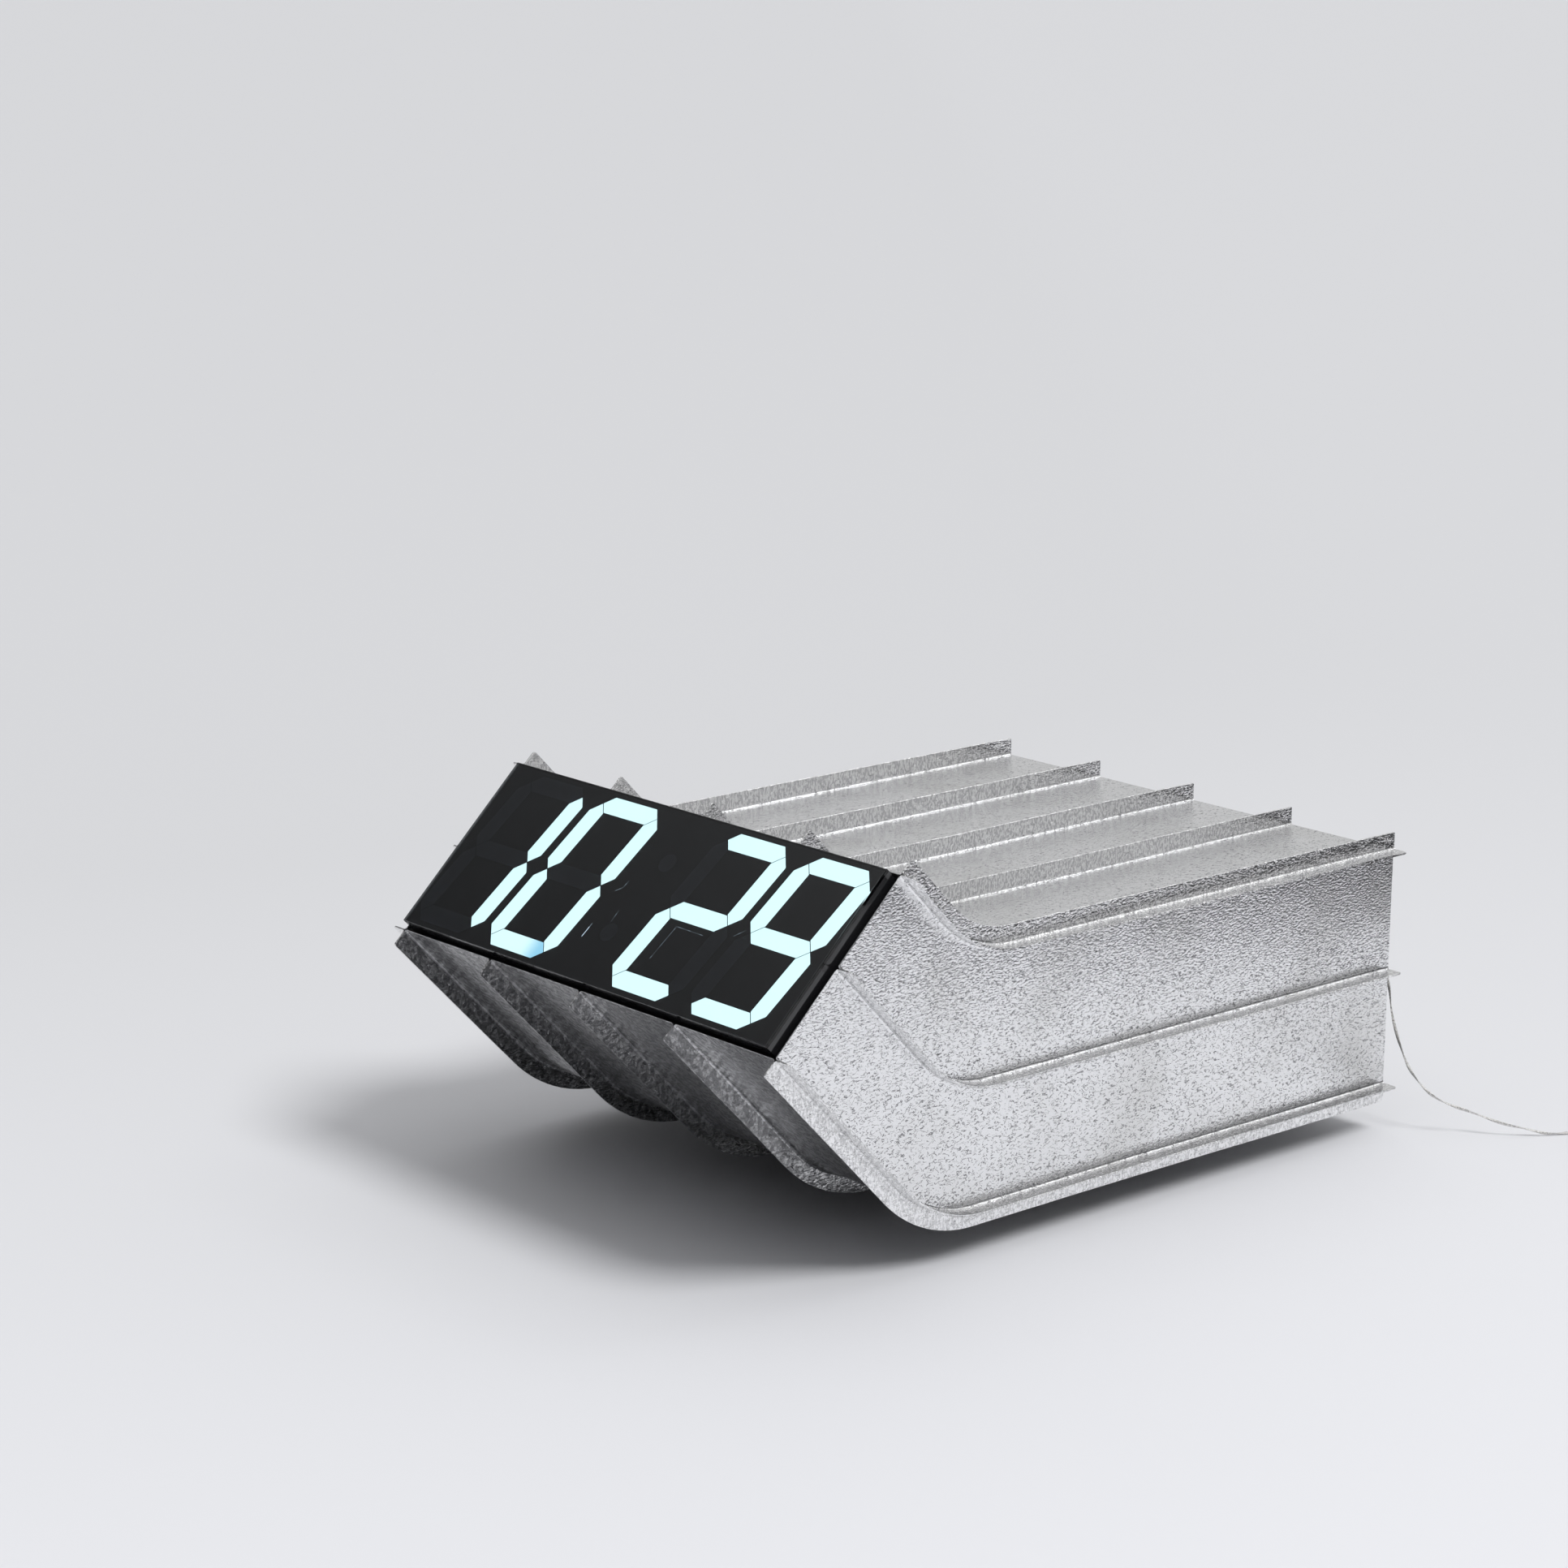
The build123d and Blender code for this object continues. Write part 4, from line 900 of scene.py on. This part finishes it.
# The floor's colours where the painted light is least and where it is most.
FLOOR_COLOURS = [(0.585, 0.589, 0.604), (0.8, 0.805, 0.838)]
# Two ways in which painted light makes the floor brighter: towards the camera, and to the camera's right. Each has
# the distances in metres between which it happens, and what it adds there.
AHEAD, AHEAD_RANGE, AHEAD_STEP = (0.7, -0.7, 0), (-3.0, 3.5), (0.0, 1.0)
ASIDE, ASIDE_RANGE, ASIDE_STEP = (0.66, 0.75, 0), (-1.3, 1.3), (-0.22, 0.05)
FLOOR_GRAIN = 60.0  # per metre
FLOOR_RELIEF = 0.05 * MM


def along(tree, where, way):
    """How far a place lies along a direction."""
    return add(tree, "VectorMath", {0: where, 1: way}, operation="DOT_PRODUCT").node.outputs["Value"]


def floor_painted_light():
    """Matt white paint, with painted light making it a little brighter towards the camera and to its right."""
    material, tree, shader = blank("floor_painted_light", roughness=0.65)
    where = object_place(tree)
    ahead = ramp(tree, along(tree, where, AHEAD), *AHEAD_RANGE, *AHEAD_STEP)
    aside = ramp(tree, along(tree, where, ASIDE), *ASIDE_RANGE, *ASIDE_STEP)
    # Painted light: the floor's colour rises towards the camera and to its right.
    bright = math_node(tree, "ADD", ahead, aside)
    feed(tree, shader.inputs["Base Color"], mix(tree, bright, *FLOOR_COLOURS))
    bumped(tree, shader, cloud(tree, where, FLOOR_GRAIN), FLOOR_RELIEF)
    return material


floor_corners = [(-SPAN, -SPAN, 0), (SPAN, -SPAN, 0), (SPAN, SPAN, 0), (-SPAN, SPAN, 0)]
floor = new_mesh("floor", floor_corners, [(0, 1, 2, 3)], floor_painted_light())

TO_LIGHT = Vector((0.579, 0.095, 0.81)).normalized()
BACK_LEFT = Vector((-0.73, 0.64, 0.2)).normalized()
BACK_RIGHT = Vector((0.75, 0.66, 0.0)).normalized()
BACK_RIGHT_WALL = Vector((0.75, 0.66, 0.32)).normalized()
FILL = Vector((0.12, 0.3, 0.94)).normalized()
FLAG_DISTANCE, FLAG_HALF_WIDTH, FLAG_HEIGHT = 1.45, 1.6, 0.42


def flag():
    """A black board out at the right, seen only in the metal's reflections."""
    middle = BACK_RIGHT * FLAG_DISTANCE
    side = BACK_RIGHT.cross(UP) * FLAG_HALF_WIDTH
    top = UP * FLAG_HEIGHT
    corners = [middle - side, middle + side, middle + side + top, middle - side + top]
    board = new_mesh("flag", corners, [(0, 1, 2, 3)], blank("flag_felt", base_color=(0.04, 0.04, 0.042))[0])
    board.visible_camera = board.visible_diffuse = board.visible_shadow = False
    board.visible_transmission = False


# What lights the scene, besides the sun, and shows in the metal. A range is of the cosine of the
# angle from the middle of each: nothing at its first number, everything at its second.
DIM = (0.11, 0.111, 0.115)
FILL_COLOUR, FILL_RANGE, FILL_RISE = (0.95, 0.953, 0.965), (0.3, 0.8), (0.06, 0.3)
WALLS = [
    (BACK_RIGHT_WALL, (0.8, 0.96), (0.5, 0.502, 0.508)),
    (BACK_LEFT, (0.62, 0.95), (0.56, 0.562, 0.566)),
]
# Soft boxes, which show as highlights: where each is, its radius in degrees and its brightness.
SOFTBOXES = [(Vector((0.2, 0.64, 0.74)).normalized(), 6, 3.0), (TO_LIGHT, 15, 1.6)]
SOFTBOX_EDGE = 0.6  # the share of a soft box's radius that is at full brightness
SOFTBOX_TINT = (1.0, 1.0, 1.01)


def studio():
    """A dim studio: two pale walls behind, a broad fill overhead and two soft boxes."""
    world = bpy.data.worlds.new("studio")
    world.use_nodes = True
    tree = world.node_tree
    direction = tree.nodes.new("ShaderNodeTexCoord").outputs["Generated"]

    def towards(target, low, high):
        return ramp(tree, along(tree, direction, target), low, high)

    fill = math_node(tree, "MULTIPLY", towards(FILL, *FILL_RANGE), towards(UP, *FILL_RISE))
    colour = mix(tree, fill, DIM, FILL_COLOUR)
    for middle, extent, paint in WALLS:
        colour = mix(tree, towards(middle, *extent), colour, paint)
    for middle, radius, radiance in SOFTBOXES:
        extent = [math.cos(math.radians(angle)) for angle in (radius, SOFTBOX_EDGE * radius)]
        colour = mix(tree, towards(middle, *extent), colour, [radiance * part for part in SOFTBOX_TINT])
    feed(tree, tree.nodes["Background"].inputs["Color"], colour)
    return world


scene = bpy.context.scene
scene.view_settings.view_transform = "Standard"
scene.world = studio()
flag()

SUN_STRENGTH = 2.0
SUN_SIZE = math.radians(20)
key = bpy.data.lights.new("key", "SUN")
key.energy = SUN_STRENGTH
key.angle = SUN_SIZE
lamp = bpy.data.objects.new("key", key)
lamp.visible_glossy = False  # the second soft box stands for it in reflections
lamp.rotation_euler = TO_LIGHT.to_track_quat("Z", "Y").to_euler()
scene.collection.objects.link(lamp)

# Where the camera stands and how it is turned.
AZIMUTH, PITCH, ROLL = math.radians(48.681), math.radians(13.477), math.radians(0.422)
EYE_PLACE = (2.9960, -2.80446, 1.39254)
SENSOR, FOCAL_LENGTH = 36, 90.14  # millimetres
eye = bpy.data.cameras.new("camera")
eye.sensor_width = SENSOR
eye.lens = FOCAL_LENGTH
camera = bpy.data.objects.new("camera", eye)
camera.location = EYE_PLACE
look = Vector((-math.sin(AZIMUTH) * math.cos(PITCH), math.cos(AZIMUTH) * math.cos(PITCH), -math.sin(PITCH)))
camera.rotation_mode = "QUATERNION"
camera.rotation_quaternion = look.to_track_quat("-Z", "Y") @ Quaternion((0, 0, 1), ROLL)
scene.collection.objects.link(camera)
scene.camera = camera
